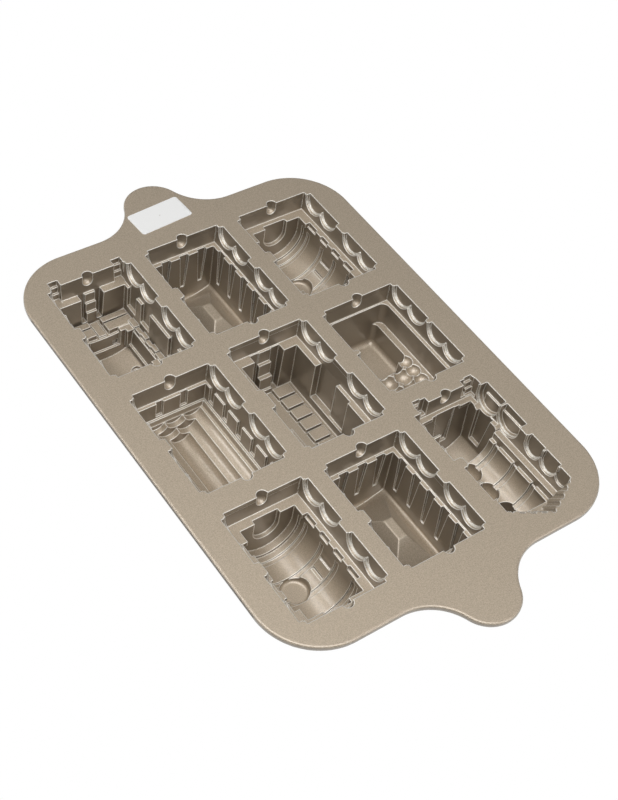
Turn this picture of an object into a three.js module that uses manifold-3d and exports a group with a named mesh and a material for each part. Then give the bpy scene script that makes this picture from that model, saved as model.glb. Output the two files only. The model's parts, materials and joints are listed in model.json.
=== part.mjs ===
import * as THREE from 'three';
import { mergeVertices } from 'three/addons/utils/BufferGeometryUtils.js';
import Module from 'manifold-3d';

// Train cake pan: a cast tray with nine cups, each the mould of one car of a train, upside down.
// Millimetres. The origin is on the table under the middle of the tray, +Z is up, and +Y runs along
// the tray to the handle beside the caboose. Each car is described in its own frame, with depths
// counted down from the top of the deck: the wheels are at the mouth and the roof is at the bottom.

const wasm = await Module();
wasm.setup();

// The casting
const WALL = 3;
const DECK_THICKNESS = 4;
const RIM_ROUND = 1.2;
const ROOF_DEPTH = 58.3;
const FOOT_FLAT = 0.5;
const PAN_HEIGHT = ROOF_DEPTH + WALL - FOOT_FLAT;

// Tray outline
const SIDE_MARGIN = 20.3;
const FAR_MARGIN = 19.4;
const NEAR_MARGIN = 10.9;
const CORNER_RADIUS = 43;
const HANDLE_REACH = 35.6;
const HANDLE_LOBE_RADIUS = 22;
const HANDLE_FLANK_RADIUS = 35;
const CUP_GAP = 6.1;
const COLUMN_GAPS = [10, 7.2, 9.5];

// Label on the far handle
const LABEL_WIDTH = 42.3;
const LABEL_HEIGHT = 21.4;
const LABEL_THICKNESS = 0.3;
const LABEL_CORNER = 2;
const LABEL_OFFSET = 2;
const LABEL_OVER_EDGE = 3.6;

// Running gear, the same on every car but the locomotive
const SILL_HALF_WIDTH = 28.5;
const SILL_DEPTH = 14;
const SILL_DRAFT = 1.5;
const WHEEL_RADIUS = 10;
const WHEEL_SPACING = 17.4;
const WHEEL_REACH = 3.5;
const BOGIE_INSET = 21.3;
const COUPLER_RADIUS = 3.8;
const COUPLER_NECK = 5;
const STANDARD_LENGTH = 89;

// Building allowances
const CLEARANCE = 1;
const OVERLAP = 2;
const ROUND_STEPS = 12;
const ARC_STEPS = 4;
const WHEEL_STEPS = 3;
const LUMP_STEPS = 8;
const SIDES = [-1, 1];

// Solids

function solid(geometry) {
  const bare = geometry.clone();
  bare.deleteAttribute('normal');
  bare.deleteAttribute('uv');
  const merged = mergeVertices(bare, 1e-4);
  return new wasm.Manifold(new wasm.Mesh({
    numProp: 3,
    vertProperties: merged.attributes.position.array,
    triVerts: new Uint32Array(merged.index.array),
  }));
}

function union(solids) {
  return solids.reduce((joined, next) => joined.add(next));
}

function toGeometry(manifold) {
  const mesh = manifold.getMesh();
  const geometry = new THREE.BufferGeometry();
  geometry.setAttribute('position', new THREE.BufferAttribute(mesh.vertProperties, 3));
  geometry.setIndex(new THREE.BufferAttribute(mesh.triVerts, 1));
  const faceted = geometry.toNonIndexed();
  faceted.computeVertexNormals();
  return faceted;
}

// A block with one rectangle at its top depth and another at its bottom depth.
function frustum(top, bottom) {
  const geometry = new THREE.BoxGeometry(1, 1, 1);
  const corners = geometry.attributes.position;
  for (let i = 0; i < corners.count; i++) {
    const level = corners.getZ(i) > 0 ? top : bottom;
    const x = corners.getX(i) < 0 ? Math.min(...level.x) : Math.max(...level.x);
    const y = corners.getY(i) < 0 ? Math.min(...level.y) : Math.max(...level.y);
    corners.setXYZ(i, x, y, -level.depth);
  }
  return solid(geometry);
}

// A block between two depths, whose sides lean in by draft on the way down.
function block(x, y, depths, draft = 0) {
  const shrink = (range) => [Math.min(...range) + draft, Math.max(...range) - draft];
  return frustum({ x, y, depth: depths[0] }, { x: shrink(x), y: shrink(y), depth: depths[1] });
}

function mirrored(half) {
  return [-half, half];
}

// A section drawn in x and height, carried along y.
function alongY(shape, y0, y1) {
  const steps = { depth: Math.abs(y1 - y0), bevelEnabled: false, curveSegments: ARC_STEPS };
  const geometry = new THREE.ExtrudeGeometry(shape, steps);
  geometry.rotateX(Math.PI / 2);
  geometry.translate(0, Math.max(y0, y1), 0);
  return solid(geometry);
}

// A section drawn in y and height, carried along x.
function alongX(shape, x0, x1) {
  const steps = { depth: Math.abs(x1 - x0), bevelEnabled: false, curveSegments: WHEEL_STEPS };
  const geometry = new THREE.ExtrudeGeometry(shape, steps);
  geometry.rotateX(Math.PI / 2);
  geometry.rotateZ(Math.PI / 2);
  geometry.translate(Math.min(x0, x1), 0, 0);
  return solid(geometry);
}

function polygon(points) {
  return new THREE.Shape(points.map(([across, depth]) => new THREE.Vector2(across, -depth)));
}

// Upright sides that end in a half circle.
function trough(middle, radius, top, centre) {
  const shape = new THREE.Shape();
  shape.moveTo(middle - radius, -top);
  shape.lineTo(middle - radius, -centre);
  shape.absarc(middle, -centre, radius, Math.PI, 2 * Math.PI, false);
  shape.lineTo(middle + radius, -top);
  return shape;
}

// Upright sides down to the eaves and a flat arch between them.
function arch(halfWidth, top, eaves, crown) {
  const rise = crown - eaves;
  const radius = (halfWidth * halfWidth + rise * rise) / (2 * rise);
  const spring = Math.asin(halfWidth / radius);
  const shape = new THREE.Shape();
  shape.moveTo(-halfWidth, -top);
  shape.lineTo(-halfWidth, -eaves);
  shape.absarc(0, radius - crown, radius, 1.5 * Math.PI - spring, 1.5 * Math.PI + spring, false);
  shape.lineTo(halfWidth, -top);
  return shape;
}

function drum(x, y, radii, depths) {
  const height = depths[1] - depths[0];
  const geometry = new THREE.CylinderGeometry(radii[0], radii[1], height, ROUND_STEPS);
  geometry.rotateX(Math.PI / 2);
  geometry.translate(x, y, -(depths[0] + depths[1]) / 2);
  return solid(geometry);
}

function ball(x, y, depth, radius, steps = ROUND_STEPS) {
  const geometry = new THREE.SphereGeometry(radius, steps, ROUND_STEPS / 3);
  geometry.rotateX(Math.PI / 2);
  geometry.translate(x, y, -depth);
  return solid(geometry);
}

// An egg with its own half length in each direction.
function egg(y, depth, half) {
  const geometry = new THREE.SphereGeometry(1, ROUND_STEPS, ROUND_STEPS / 3);
  geometry.rotateX(Math.PI / 2);
  geometry.scale(half.x, half.y, half.depth);
  geometry.translate(0, y, -depth);
  return solid(geometry);
}

// A panel let into a side wall, which narrows and gets shallower from the sill to its foot.
function sidePanel(side, wall, middle, sill, foot) {
  const level = ({ rise, width, depth }) => ({
    x: [side * (wall - OVERLAP), side * (wall + rise)],
    y: [middle - width / 2, middle + width / 2],
    depth,
  });
  return frustum(level(sill), level(foot));
}

// The same in an end wall.
function endPanel(side, wall, middle, sill, foot) {
  const level = ({ rise, width, depth }) => ({
    x: [middle - width / 2, middle + width / 2],
    y: [side * (wall - OVERLAP), side * (wall + rise)],
    depth,
  });
  return frustum(level(sill), level(foot));
}

// Running gear

// A pocket that goes straight down through the deck and leans in below it.
function mouth(x, y, depth, draft) {
  return [
    block(x, y, [-CLEARANCE, DECK_THICKNESS]),
    block(x, y, [DECK_THICKNESS, depth], draft),
  ];
}

function wheel(y, side, gear) {
  const section = trough(y, gear.radius, -CLEARANCE, gear.centre);
  const inner = side * (gear.sill - SILL_DRAFT - OVERLAP);
  return alongX(section, inner, side * (gear.sill + gear.reach));
}

function coupler(end) {
  return [
    drum(0, end, [COUPLER_RADIUS, COUPLER_RADIUS], [-CLEARANCE, COUPLER_NECK]),
    ball(0, end, COUPLER_NECK, COUPLER_RADIUS),
  ];
}

function couplerBoss(end) {
  const radius = COUPLER_RADIUS + WALL;
  return drum(0, end, [radius, radius / 2], [0, COUPLER_NECK + radius]);
}

// The outside of a row of wheels: one boss with leaning sides.
function wheelBoss(y, side, gear) {
  const reach = gear.sill + gear.reach + WALL;
  const span = [y[0] - gear.radius - WALL, y[1] + gear.radius + WALL];
  const depth = gear.centre + gear.radius + WALL;
  return block([0, side * reach], span, [0, depth], WALL / 2);
}

const standardGear = { radius: WHEEL_RADIUS, centre: 0, sill: SILL_HALF_WIDTH, reach: WHEEL_REACH };

function axles(length, bogie) {
  const middle = bogie * (length / 2 - BOGIE_INSET);
  return [middle - WHEEL_SPACING / 2, middle + WHEEL_SPACING / 2];
}

// The sill with two bogies a side and a coupler at each end.
function runningGear(length) {
  const end = length / 2;
  const solids = mouth(mirrored(SILL_HALF_WIDTH), mirrored(end), SILL_DEPTH, SILL_DRAFT);
  for (const side of SIDES) {
    solids.push(...coupler(side * end));
    for (const bogie of SIDES) {
      solids.push(...axles(length, bogie).map((y) => wheel(y, side, standardGear)));
    }
  }
  return solids;
}

function gearShell(length) {
  const end = length / 2;
  const sill = [mirrored(SILL_HALF_WIDTH + WALL), mirrored(end + WALL), [0, SILL_DEPTH + WALL]];
  const solids = [block(...sill, SILL_DRAFT)];
  for (const side of SIDES) {
    solids.push(couplerBoss(side * end));
    for (const bogie of SIDES) {
      solids.push(wheelBoss(axles(length, bogie), side, standardGear));
    }
  }
  return solids;
}

function standardReach(length) {
  return { far: length / 2 + COUPLER_RADIUS, near: length / 2 + COUPLER_RADIUS };
}

// Hopper car: ribbed walls, an arched top and a hopper bay that stands up from the floor as a hip.
function hopperCar() {
  const halfWidth = 24;
  const halfLength = 39.5;
  const eaves = ROOF_DEPTH - 6.3;
  const panelPitch = 14.75;
  const panelSill = { rise: 2, width: 7.2, depth: SILL_DEPTH - OVERLAP };
  const panelFoot = { rise: 0.8, width: 3, depth: ROOF_DEPTH - 14.3 };
  const bayTop = { x: 3.2, y: 8.05, depth: ROOF_DEPTH - 25 };
  const bayFoot = { x: 20.5, y: 33, depth: ROOF_DEPTH - 4.8 };

  const slope = (axis) => (bayFoot[axis] - bayTop[axis]) / (bayFoot.depth - bayTop.depth);
  const bayAt = (depth, inset) => ({
    x: mirrored(bayTop.x + slope('x') * (depth - bayTop.depth) - inset * Math.hypot(1, slope('x'))),
    y: mirrored(bayTop.y + slope('y') * (depth - bayTop.depth) - inset * Math.hypot(1, slope('y'))),
    depth,
  });
  const below = ROOF_DEPTH + WALL + OVERLAP;
  const body = (grow) => alongY(
    arch(halfWidth + grow, SILL_DEPTH - OVERLAP, eaves + grow / 2, ROOF_DEPTH + grow),
    -halfLength - grow,
    halfLength + grow,
  );
  const panels = [];
  for (const side of SIDES) {
    for (const place of [-2, -1, 0, 1, 2]) {
      panels.push(sidePanel(side, halfWidth, place * panelPitch, panelSill, panelFoot));
    }
    for (const place of [-1, 0, 1]) {
      panels.push(endPanel(side, halfLength, place * panelPitch, panelSill, panelFoot));
    }
  }
  const ribbedShell = block(
    mirrored(halfWidth + panelSill.rise + WALL),
    mirrored(halfLength + panelSill.rise + WALL),
    [SILL_DEPTH, panelFoot.depth + WALL],
    panelSill.rise,
  );
  return {
    reach: standardReach(STANDARD_LENGTH),
    cavity: [...runningGear(STANDARD_LENGTH), body(0), ...panels],
    cores: [frustum(bayAt(bayTop.depth, 0), bayAt(below, 0))],
    shell: [...gearShell(STANDARD_LENGTH), body(WALL), ribbedShell],
    hollows: [frustum(bayAt(bayTop.depth + WALL, WALL), bayAt(below, WALL))],
  };
}

// Tank car: a barrel with strap bands, dished ends, a dome and the steps up to it.
function tankCar() {
  const barrelRadius = 22.3;
  const barrelCentre = 24;
  const barrelHalf = 31;
  const headRadius = 18.5;
  const headHalf = 34.5;
  const capRadius = 9.4;
  const capHalf = 38.8;
  const frameHalf = 36.2;
  const frameDepth = 18;
  const strapRise = 0.8;
  const strapWidth = 3.3;
  const straps = [-25, -8, 8, 25];
  const domeRadii = [10.8, 9.2];
  const domeDepths = [40, 49.5];
  const pocketWidth = 8.4;
  const pocketRise = 2.6;
  const pocketFoot = 26;
  const pockets = [-23.2, 0, 23.2];
  const stepHalf = 5.2;
  const steps = [{ x: [13.5, 17], depth: 40.5 }, { x: [19, 21.5], depth: 33 }];

  const top = SILL_DEPTH - OVERLAP;
  const pocketSill = { rise: pocketRise, width: pocketWidth, depth: top };
  const pocketEnd = { rise: 0, width: pocketWidth, depth: pocketFoot };
  const barrel = (radius, half, grow) => alongY(
    trough(0, radius + grow, top, barrelCentre),
    -half - grow,
    half + grow,
  );
  const tank = (grow) => [
    barrel(barrelRadius, barrelHalf, grow),
    barrel(headRadius, headHalf, grow),
    barrel(capRadius, capHalf, grow),
    block(mirrored(barrelRadius + grow), mirrored(frameHalf + grow), [top, frameDepth + grow], 1),
    drum(0, 0, domeRadii.map((radius) => radius + grow), [domeDepths[0], domeDepths[1] + grow]),
  ];
  const trim = straps.map((y) => alongY(
    trough(0, barrelRadius + strapRise, barrelCentre - OVERLAP, barrelCentre),
    y - strapWidth / 2,
    y + strapWidth / 2,
  ));
  for (const side of SIDES) {
    for (const step of steps) {
      const across = step.x.map((x) => side * x);
      trim.push(block(across, mirrored(stepHalf), [barrelCentre, step.depth]));
    }
    for (const y of pockets) {
      trim.push(sidePanel(side, barrelRadius, y, pocketSill, pocketEnd));
    }
  }
  return {
    reach: standardReach(STANDARD_LENGTH),
    cavity: [...runningGear(STANDARD_LENGTH), ...tank(0), ...trim],
    cores: [],
    shell: [...gearShell(STANDARD_LENGTH), ...tank(WALL)],
    hollows: [],
  };
}

// Boxcar: sliding door, roof panels either side of a running board, and a ladder up each end.
function boxcar() {
  const length = 96;
  const halfWidth = 22.3;
  const halfLength = 39.3;
  const roof = 51.5;
  const porchHalf = 12;
  const porchReach = 45.6;
  const ladderHalf = 5;
  const rungs = [
    { y: 44.4, depth: 14 },
    { y: 42.3, depth: 25 },
    { y: 39.2, depth: 36 },
    { y: 37.5, depth: 47 },
  ];
  const doorDepth = 45;
  const doorway = { y: [-4, 17], x: 27 };
  const door = { y: [-20, -4], x: 24.4 };
  const panelRise = 1.6;
  const panelSpan = [4.5, 21];
  const panelLength = 9.1;
  const panelPitch = 10.75;
  const panelPlaces = [-3, -2, -1, 0, 1, 2, 3];

  const top = SILL_DEPTH - OVERLAP;
  const body = (grow) => [
    block(mirrored(halfWidth + grow), mirrored(halfLength + grow), [top, roof + grow]),
    block(mirrored(porchHalf + grow), mirrored(porchReach + grow), [top, roof + grow], 1),
  ];
  const doors = (grow) => SIDES.flatMap((side) => [doorway, door].map((opening) => block(
    [0, side * (opening.x + grow)],
    [opening.y[0] - grow, opening.y[1] + grow],
    [top, doorDepth + grow],
  )));
  const below = roof + WALL;
  const ladders = SIDES.flatMap((end) => rungs.map((rung) => block(
    mirrored(ladderHalf),
    [end * rung.y, end * (porchReach + WALL)],
    [rung.depth, below],
  )));
  const panels = SIDES.flatMap((side) => panelPlaces.map((place) => block(
    panelSpan.map((x) => side * x),
    [place * panelPitch - panelLength / 2, place * panelPitch + panelLength / 2],
    [roof - panelRise, below],
  )));
  return {
    reach: standardReach(length),
    cavity: [...runningGear(length), ...body(0), ...doors(0)],
    cores: [...ladders, ...panels],
    shell: [...gearShell(length), ...body(WALL), ...doors(WALL)],
    hollows: [],
  };
}

// Log car: stakes round a flat bed that carries a pile of logs.
function logCar() {
  const bedHalfWidth = 25.6;
  const bedHalfLength = 40.5;
  const bedDepth = 28.4;
  const pocketInset = 0.5;
  const pocketDraft = 2.6;
  const pocketDepth = 31.6;
  const logRadius = 8;
  const logSpacing = 14;
  const rows = [3, 2, 1];
  const rowHalfLengths = [37.4, 33, 28.5];
  const firstRow = 27.5;
  const rowDrop = 5.25;
  const stakeReach = 1.6;
  const stakeWidth = 5.2;
  const stakeDepth = 26.7;
  const sideStakes = [-32.8, -16.4, 0, 16.4, 32.8];
  const endStakes = [-9.2, 9.2];

  const top = SILL_DEPTH - OVERLAP;
  const rowDepth = (row) => firstRow + row * rowDrop;
  const outerLog = (row) => (rows[row] - 1) * logSpacing / 2;
  const load = [block(
    mirrored(bedHalfWidth - pocketInset),
    mirrored(bedHalfLength - pocketInset),
    [bedDepth - OVERLAP, pocketDepth],
    pocketDraft,
  )];
  rows.forEach((count, row) => {
    for (let i = 0; i < count; i++) {
      const section = trough(i * logSpacing - outerLog(row), logRadius, bedDepth - OVERLAP, rowDepth(row));
      load.push(alongY(section, ...mirrored(rowHalfLengths[row])));
    }
  });
  const shellReach = logRadius + WALL;
  const flank = (side) => [
    [side * (outerLog(0) + shellReach), bedDepth - OVERLAP],
    ...rows.map((_, row) => [side * (outerLog(row) + shellReach), rowDepth(row + 1)]),
    [side * shellReach / 2, rowDepth(rows.length - 1) + shellReach],
  ];
  const heapShell = alongY(
    polygon([...flank(-1), ...flank(1).reverse()]),
    ...mirrored(rowHalfLengths[0] + WALL),
  );
  const bed = (grow) => block(
    mirrored(bedHalfWidth + grow),
    mirrored(bedHalfLength + grow),
    [top, bedDepth + grow],
  );
  const stakes = SIDES.flatMap((side) => [
    ...sideStakes.map((y) => block(
      [0, side * (bedHalfWidth + stakeReach)],
      [y - stakeWidth / 2, y + stakeWidth / 2],
      [top, stakeDepth],
    )),
    ...endStakes.map((x) => block(
      [x - stakeWidth / 2, x + stakeWidth / 2],
      [0, side * (bedHalfLength + stakeReach)],
      [top, stakeDepth],
    )),
  ]);
  return {
    reach: standardReach(STANDARD_LENGTH),
    cavity: [...runningGear(STANDARD_LENGTH), bed(0), ...load, ...stakes],
    cores: [],
    shell: [...gearShell(STANDARD_LENGTH), bed(WALL + stakeReach / 2), heapShell],
    hollows: [],
  };
}

// Tender: a water tank behind and a bunker heaped with lumps of coal in front.
function tender() {
  const length = 82.5;
  const tubHalfWidth = 24.6;
  const tubInset = 2.6;
  const tubDepth = 32;
  const tubDraft = 0.6;
  const tankDepth = 50;
  const tankDraft = 0.8;
  const tank = { halfWidth: 19.3, front: 5.1 };
  const tankNeck = { halfWidth: 10.5, front: -5 };
  const lumpDepth = 31;
  const lumpColumns = [
    { x: 16, radius: 4.9, y: [-1.5, -11, -20.2, -29.5] },
    { x: 5.6, radius: 5.7, y: [-14, -25, -34] },
  ];

  const end = length / 2 - tubInset;
  const top = SILL_DEPTH - OVERLAP;
  const body = (grow) => [
    block(mirrored(tubHalfWidth + grow), mirrored(end + grow), [top, tubDepth + grow], tubDraft),
    ...[tank, tankNeck].map(({ halfWidth, front }) => block(
      mirrored(halfWidth + grow),
      [front - grow, end - tubDraft + grow],
      [tubDepth - OVERLAP, tankDepth + grow],
      tankDraft,
    )),
  ];
  const lumps = lumpColumns.flatMap(({ x, radius, y }) => mirrored(x).flatMap(
    (across) => y.map((along) => ball(across, along, lumpDepth, radius, LUMP_STEPS)),
  ));
  const lumpFoot = lumpDepth + Math.max(...lumpColumns.map(({ radius }) => radius));
  const shellBed = block(
    mirrored(tubHalfWidth + WALL),
    [-end - WALL, tank.front + WALL],
    [tubDepth, lumpFoot + WALL],
    OVERLAP,
  );
  return {
    reach: standardReach(length),
    cavity: [...runningGear(length), ...body(0), ...lumps],
    cores: [],
    shell: [...gearShell(length), ...body(WALL), shellBed],
    hollows: [],
  };
}

// Caboose: rear platform steps, ladder, side windows, panelled roof and a cupola.
function caboose() {
  const halfWidth = 25;
  const halfLength = 37.2;
  const eaves = 37;
  const crown = 40;
  const porchHalf = 8.8;
  const porchReach = 42.9;
  const porchDraft = 1;
  const ladderHalf = 4;
  const rungs = [
    { y: 41, depth: 14 },
    { y: 39.2, depth: 21.6 },
    { y: 37.4, depth: 29.2 },
  ];
  const windowReach = 2.5;
  const windowWidth = 11.2;
  const windowDepth = 31;
  const windows = [-26.1, 9.45, 27.35];
  const stepSpan = [20.6, 27.6];
  const stepRise = 4.7;
  const stepRun = 1.8;
  const platformReach = 5.4;
  const cupolaTop = { x: 20.3, y: 20.5 };
  const cupolaFoot = { x: 18.7, y: 19.9, depth: ROOF_DEPTH - 5.8 };
  const cupolaRoof = { halfWidth: 17, halfLength: 18, eaves: ROOF_DEPTH - 3.8 };
  const chimney = { x: 12.3, y: -3, radius: 3.2 };
  const boardHalf = 2.8;
  const panelRise = 1.2;
  const panelInset = 1.6;
  const panelSplit = 30;

  const end = STANDARD_LENGTH / 2;
  const top = SILL_DEPTH - OVERLAP;
  const body = (grow) => [
    alongY(
      arch(halfWidth + grow, top, eaves + grow, crown + grow),
      -halfLength - grow,
      halfLength + grow,
    ),
    block(mirrored(porchHalf + grow), mirrored(porchReach + grow), [top, eaves + grow], porchDraft),
    frustum(
      { x: mirrored(cupolaTop.x + grow), y: mirrored(cupolaTop.y + grow), depth: eaves - OVERLAP },
      {
        x: mirrored(cupolaFoot.x + grow),
        y: mirrored(cupolaFoot.y + grow),
        depth: cupolaFoot.depth + grow,
      },
    ),
    alongY(
      arch(cupolaRoof.halfWidth + grow, cupolaFoot.depth - OVERLAP, cupolaRoof.eaves, ROOF_DEPTH + grow),
      ...mirrored(cupolaRoof.halfLength + grow),
    ),
  ];
  const platform = (grow) => SIDES.flatMap((side) => [0, 1, 2].map((tread) => block(
    [side * (stepSpan[0] - grow), side * (stepSpan[1] + grow)],
    [end - 2 * OVERLAP, end + platformReach - tread * stepRun + grow],
    [-CLEARANCE, (tread + 1) * stepRise + grow],
  )));
  const sideWindows = (grow) => SIDES.flatMap((side) => windows.map((y) => block(
    [0, side * (halfWidth + windowReach + grow)],
    [y - windowWidth / 2 - grow, y + windowWidth / 2 + grow],
    [top, windowDepth + grow],
  )));
  const ladders = SIDES.flatMap((side) => rungs.map((rung) => block(
    mirrored(ladderHalf),
    [side * rung.y, side * (porchReach + WALL)],
    [rung.depth, eaves + WALL],
  )));
  const roofTop = crown - panelRise;
  const boards = SIDES.flatMap((side) => [
    [cupolaTop.y + panelInset, panelSplit],
    [panelSplit + panelInset, halfLength],
  ].flatMap((span) => SIDES.map((hand) => block(
    [hand * (boardHalf + panelInset), hand * (halfWidth + OVERLAP)],
    span.map((y) => side * y),
    [eaves - panelRise, crown + OVERLAP],
  ))).concat([block(
    mirrored(boardHalf),
    [side * (cupolaTop.y + panelInset), side * (halfLength - panelInset)],
    [roofTop, crown + OVERLAP],
  )]));
  const flue = (grow) => drum(
    chimney.x,
    chimney.y,
    [chimney.radius + grow, chimney.radius + grow],
    [cupolaFoot.depth, ROOF_DEPTH + grow],
  );
  const form = (grow) => [...body(grow), ...platform(grow), ...sideWindows(grow), flue(grow)];
  return {
    reach: { far: end + platformReach, near: end + COUPLER_RADIUS },
    cavity: [...runningGear(STANDARD_LENGTH), ...form(0)],
    cores: [...ladders, ...boards],
    shell: [...gearShell(STANDARD_LENGTH), ...form(WALL)],
    hollows: [],
  };
}

// Locomotive: cab behind, boiler with bands, domes and chimney, driving wheels and a pilot in front.
function locomotive() {
  const sillHalfWidth = 24.5;
  const sillDraft = 0.4;
  const rear = 53.2;
  const front = 43.5;
  const pilotTip = 57;
  const pilotShoulder = { x: 13, y: 50.5 };
  const pilotDepth = 11;
  const cab = { halfWidth: 20.5, y: [20.8, 47.5], eaves: ROOF_DEPTH - 9.6 };
  const boiler = { radius: 16.5, centre: 23, front: -43 };
  const board = { halfWidth: 24, front: -42, depth: 17 };
  const ledge = { halfWidth: 19.2, front: -42.5, depth: 22.5 };
  const bandRise = 0.9;
  const bandWidth = 4;
  const bandPlaces = [13.9, -4.8, -23.6];
  const domePlaces = [13.3, -5.1];
  const domeDepth = 38;
  const dome = { x: 6, y: 7.8, depth: 10 };
  const chimney = { y: -22.5, radii: [7, 6.2], depth: ROOF_DEPTH - 5.3 };
  const drivers = [16.6, 38];
  const driver = { radius: 10.6, centre: 5.7, sill: sillHalfWidth, reach: 6.4 };
  const leaders = [-23.7, -8.4];
  const leader = { radius: 7.6, centre: 5.7, sill: sillHalfWidth, reach: 4 };
  const pony = { radius: 5.6, centre: 5.7, sill: sillHalfWidth, reach: 2.4 };
  const ponyPlace = -37;
  const rod = { x: [27.5, 29.4], y: [8.5, 44], depth: 6 };
  const doorReach = 49.8;
  const doorSill = { halfWidth: 8, depth: SILL_DEPTH - OVERLAP };
  const doorFoot = { halfWidth: 6, depth: 45 };
  const windowReach = 2.8;
  const windowSill = { y: [27, 41], depth: SILL_DEPTH - OVERLAP };
  const windowFoot = { y: [31.1, 40.7], depth: 44.6 };
  const stepSpan = [15, 24.5];
  const treads = [
    { y: 58.4, depth: 3 },
    { y: 56.2, depth: 5.7 },
    { y: 54.4, depth: 9.8 },
  ];

  const top = SILL_DEPTH - OVERLAP;
  const sillWidth = (grow) => mirrored(sillHalfWidth + grow);
  const sillLength = (grow) => [-front - grow, rear + grow];
  const boards = (grow) => [board, ledge].map(({ halfWidth, front: y, depth }) => block(
    mirrored(halfWidth + grow),
    [y - grow, cab.y[0] + grow],
    [top, depth + grow],
  ));
  const pilot = (grow) => {
    const outline = new THREE.Shape();
    outline.moveTo(-sillHalfWidth - grow, -front + OVERLAP);
    outline.lineTo(-sillHalfWidth - grow, -front - grow);
    outline.lineTo(-pilotShoulder.x - grow, -pilotShoulder.y - grow);
    outline.lineTo(0, -pilotTip - grow);
    outline.lineTo(pilotShoulder.x + grow, -pilotShoulder.y - grow);
    outline.lineTo(sillHalfWidth + grow, -front - grow);
    outline.lineTo(sillHalfWidth + grow, -front + OVERLAP);
    const height = CLEARANCE + pilotDepth + grow;
    const geometry = new THREE.ExtrudeGeometry(outline, { depth: height, bevelEnabled: false });
    geometry.translate(0, 0, -pilotDepth - grow);
    return solid(geometry);
  };
  const wheels = SIDES.flatMap((side) => [
    ...drivers.map((y) => wheel(y, side, driver)),
    ...leaders.map((y) => wheel(y, side, leader)),
    wheel(ponyPlace, side, pony),
  ]);
  const bosses = SIDES.flatMap((side) => [
    wheelBoss(drivers, side, driver),
    wheelBoss(leaders, side, leader),
    wheelBoss([ponyPlace, ponyPlace], side, pony),
  ]);
  const body = (grow) => [
    alongY(
      arch(cab.halfWidth + grow, top, cab.eaves + grow / 2, ROOF_DEPTH + grow),
      cab.y[0] - grow,
      cab.y[1] + grow,
    ),
    alongY(trough(0, boiler.radius + grow, top, boiler.centre), boiler.front - grow, cab.y[1]),
    ...domePlaces.map((y) => egg(y, domeDepth, {
      x: dome.x + grow,
      y: dome.y + grow,
      depth: dome.depth + grow,
    })),
    drum(
      0,
      chimney.y,
      chimney.radii.map((radius) => radius + grow),
      [boiler.centre, chimney.depth + grow],
    ),
  ];
  const door = (grow) => {
    const level = ({ halfWidth, depth }, extra) => ({
      x: mirrored(halfWidth + grow),
      y: [cab.y[0], doorReach + grow],
      depth: depth + extra,
    });
    return frustum(level(doorSill, 0), level(doorFoot, grow));
  };
  const cabWindows = (grow) => SIDES.map((side) => {
    const level = ({ y, depth }, extra) => ({
      x: [0, side * (cab.halfWidth + windowReach + grow)],
      y: [y[0] - grow, y[1] + grow],
      depth: depth + extra,
    });
    return frustum(level(windowSill, 0), level(windowFoot, grow));
  });
  const platform = (grow) => SIDES.flatMap((side) => treads.map(({ y, depth }, tread) => block(
    [side * (stepSpan[0] - grow), side * (stepSpan[1] + tread + grow)],
    [rear - 2 * OVERLAP, y + grow],
    [-CLEARANCE, depth + grow],
  )));
  const bands = bandPlaces.map((y) => alongY(
    trough(0, boiler.radius + bandRise, boiler.centre - OVERLAP, boiler.centre),
    y - bandWidth / 2,
    y + bandWidth / 2,
  ));
  const rods = SIDES.map((side) => block(
    rod.x.map((x) => side * x),
    rod.y,
    [rod.depth, rod.depth + driver.radius + driver.centre],
  ));
  const form = (grow) => [
    ...boards(grow),
    pilot(grow),
    ...body(grow),
    door(grow),
    ...cabWindows(grow),
    ...platform(grow),
  ];
  return {
    reach: { far: rear + COUPLER_RADIUS, near: pilotTip },
    cavity: [
      ...mouth(sillWidth(0), sillLength(0), SILL_DEPTH, sillDraft),
      ...coupler(rear),
      ...wheels,
      ...form(0),
      ...bands,
    ],
    cores: rods,
    shell: [
      block(sillWidth(WALL), sillLength(WALL), [0, SILL_DEPTH + WALL], sillDraft),
      couplerBoss(rear),
      ...bosses,
      ...form(WALL),
    ],
    hollows: [],
  };
}

// Columns of cars, each from the far handle to the near one
const columns = [
  [['caboose', caboose()], ['log_car', logCar()], ['tank_car_near', tankCar()]],
  [['hopper_car_far', hopperCar()], ['boxcar', boxcar()], ['hopper_car_near', hopperCar()]],
  [['tank_car_far', tankCar()], ['tender', tender()], ['locomotive', locomotive()]],
];

function columnLength(column, gap) {
  const cars = column.map(([, car]) => car.reach.far + car.reach.near);
  return cars.reduce((sum, reach) => sum + reach) + gap * (column.length - 1);
}

const mouthHalfWidth = SILL_HALF_WIDTH + WHEEL_REACH;
const columnPitch = 2 * (mouthHalfWidth + WALL) + CUP_GAP;
const halfWidth = columnPitch + mouthHalfWidth + SIDE_MARGIN;
const longest = Math.max(...columns.map((column, i) => columnLength(column, COLUMN_GAPS[i])));
const halfLength = (FAR_MARGIN + longest + NEAR_MARGIN) / 2;

// Every car with its name and the place of its origin on the deck
const places = columns.flatMap((column, i) => {
  let end = halfLength - FAR_MARGIN;
  return column.map(([name, car]) => {
    const y = end - car.reach.far;
    end = y - car.reach.near - COLUMN_GAPS[i];
    return { name, car, x: (i - 1) * columnPitch, y };
  });
});

// Finishes

function coatedMetal(colour) {
  return new THREE.MeshStandardMaterial({ color: colour, roughness: 0.45, metalness: 0.75 });
}

const pan = new THREE.Group();

function addPiece(name, geometry, material, position) {
  const mesh = new THREE.Mesh(geometry, material);
  mesh.name = name;
  mesh.position.set(...position);
  pan.add(mesh);
}

// Deck plate

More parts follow.
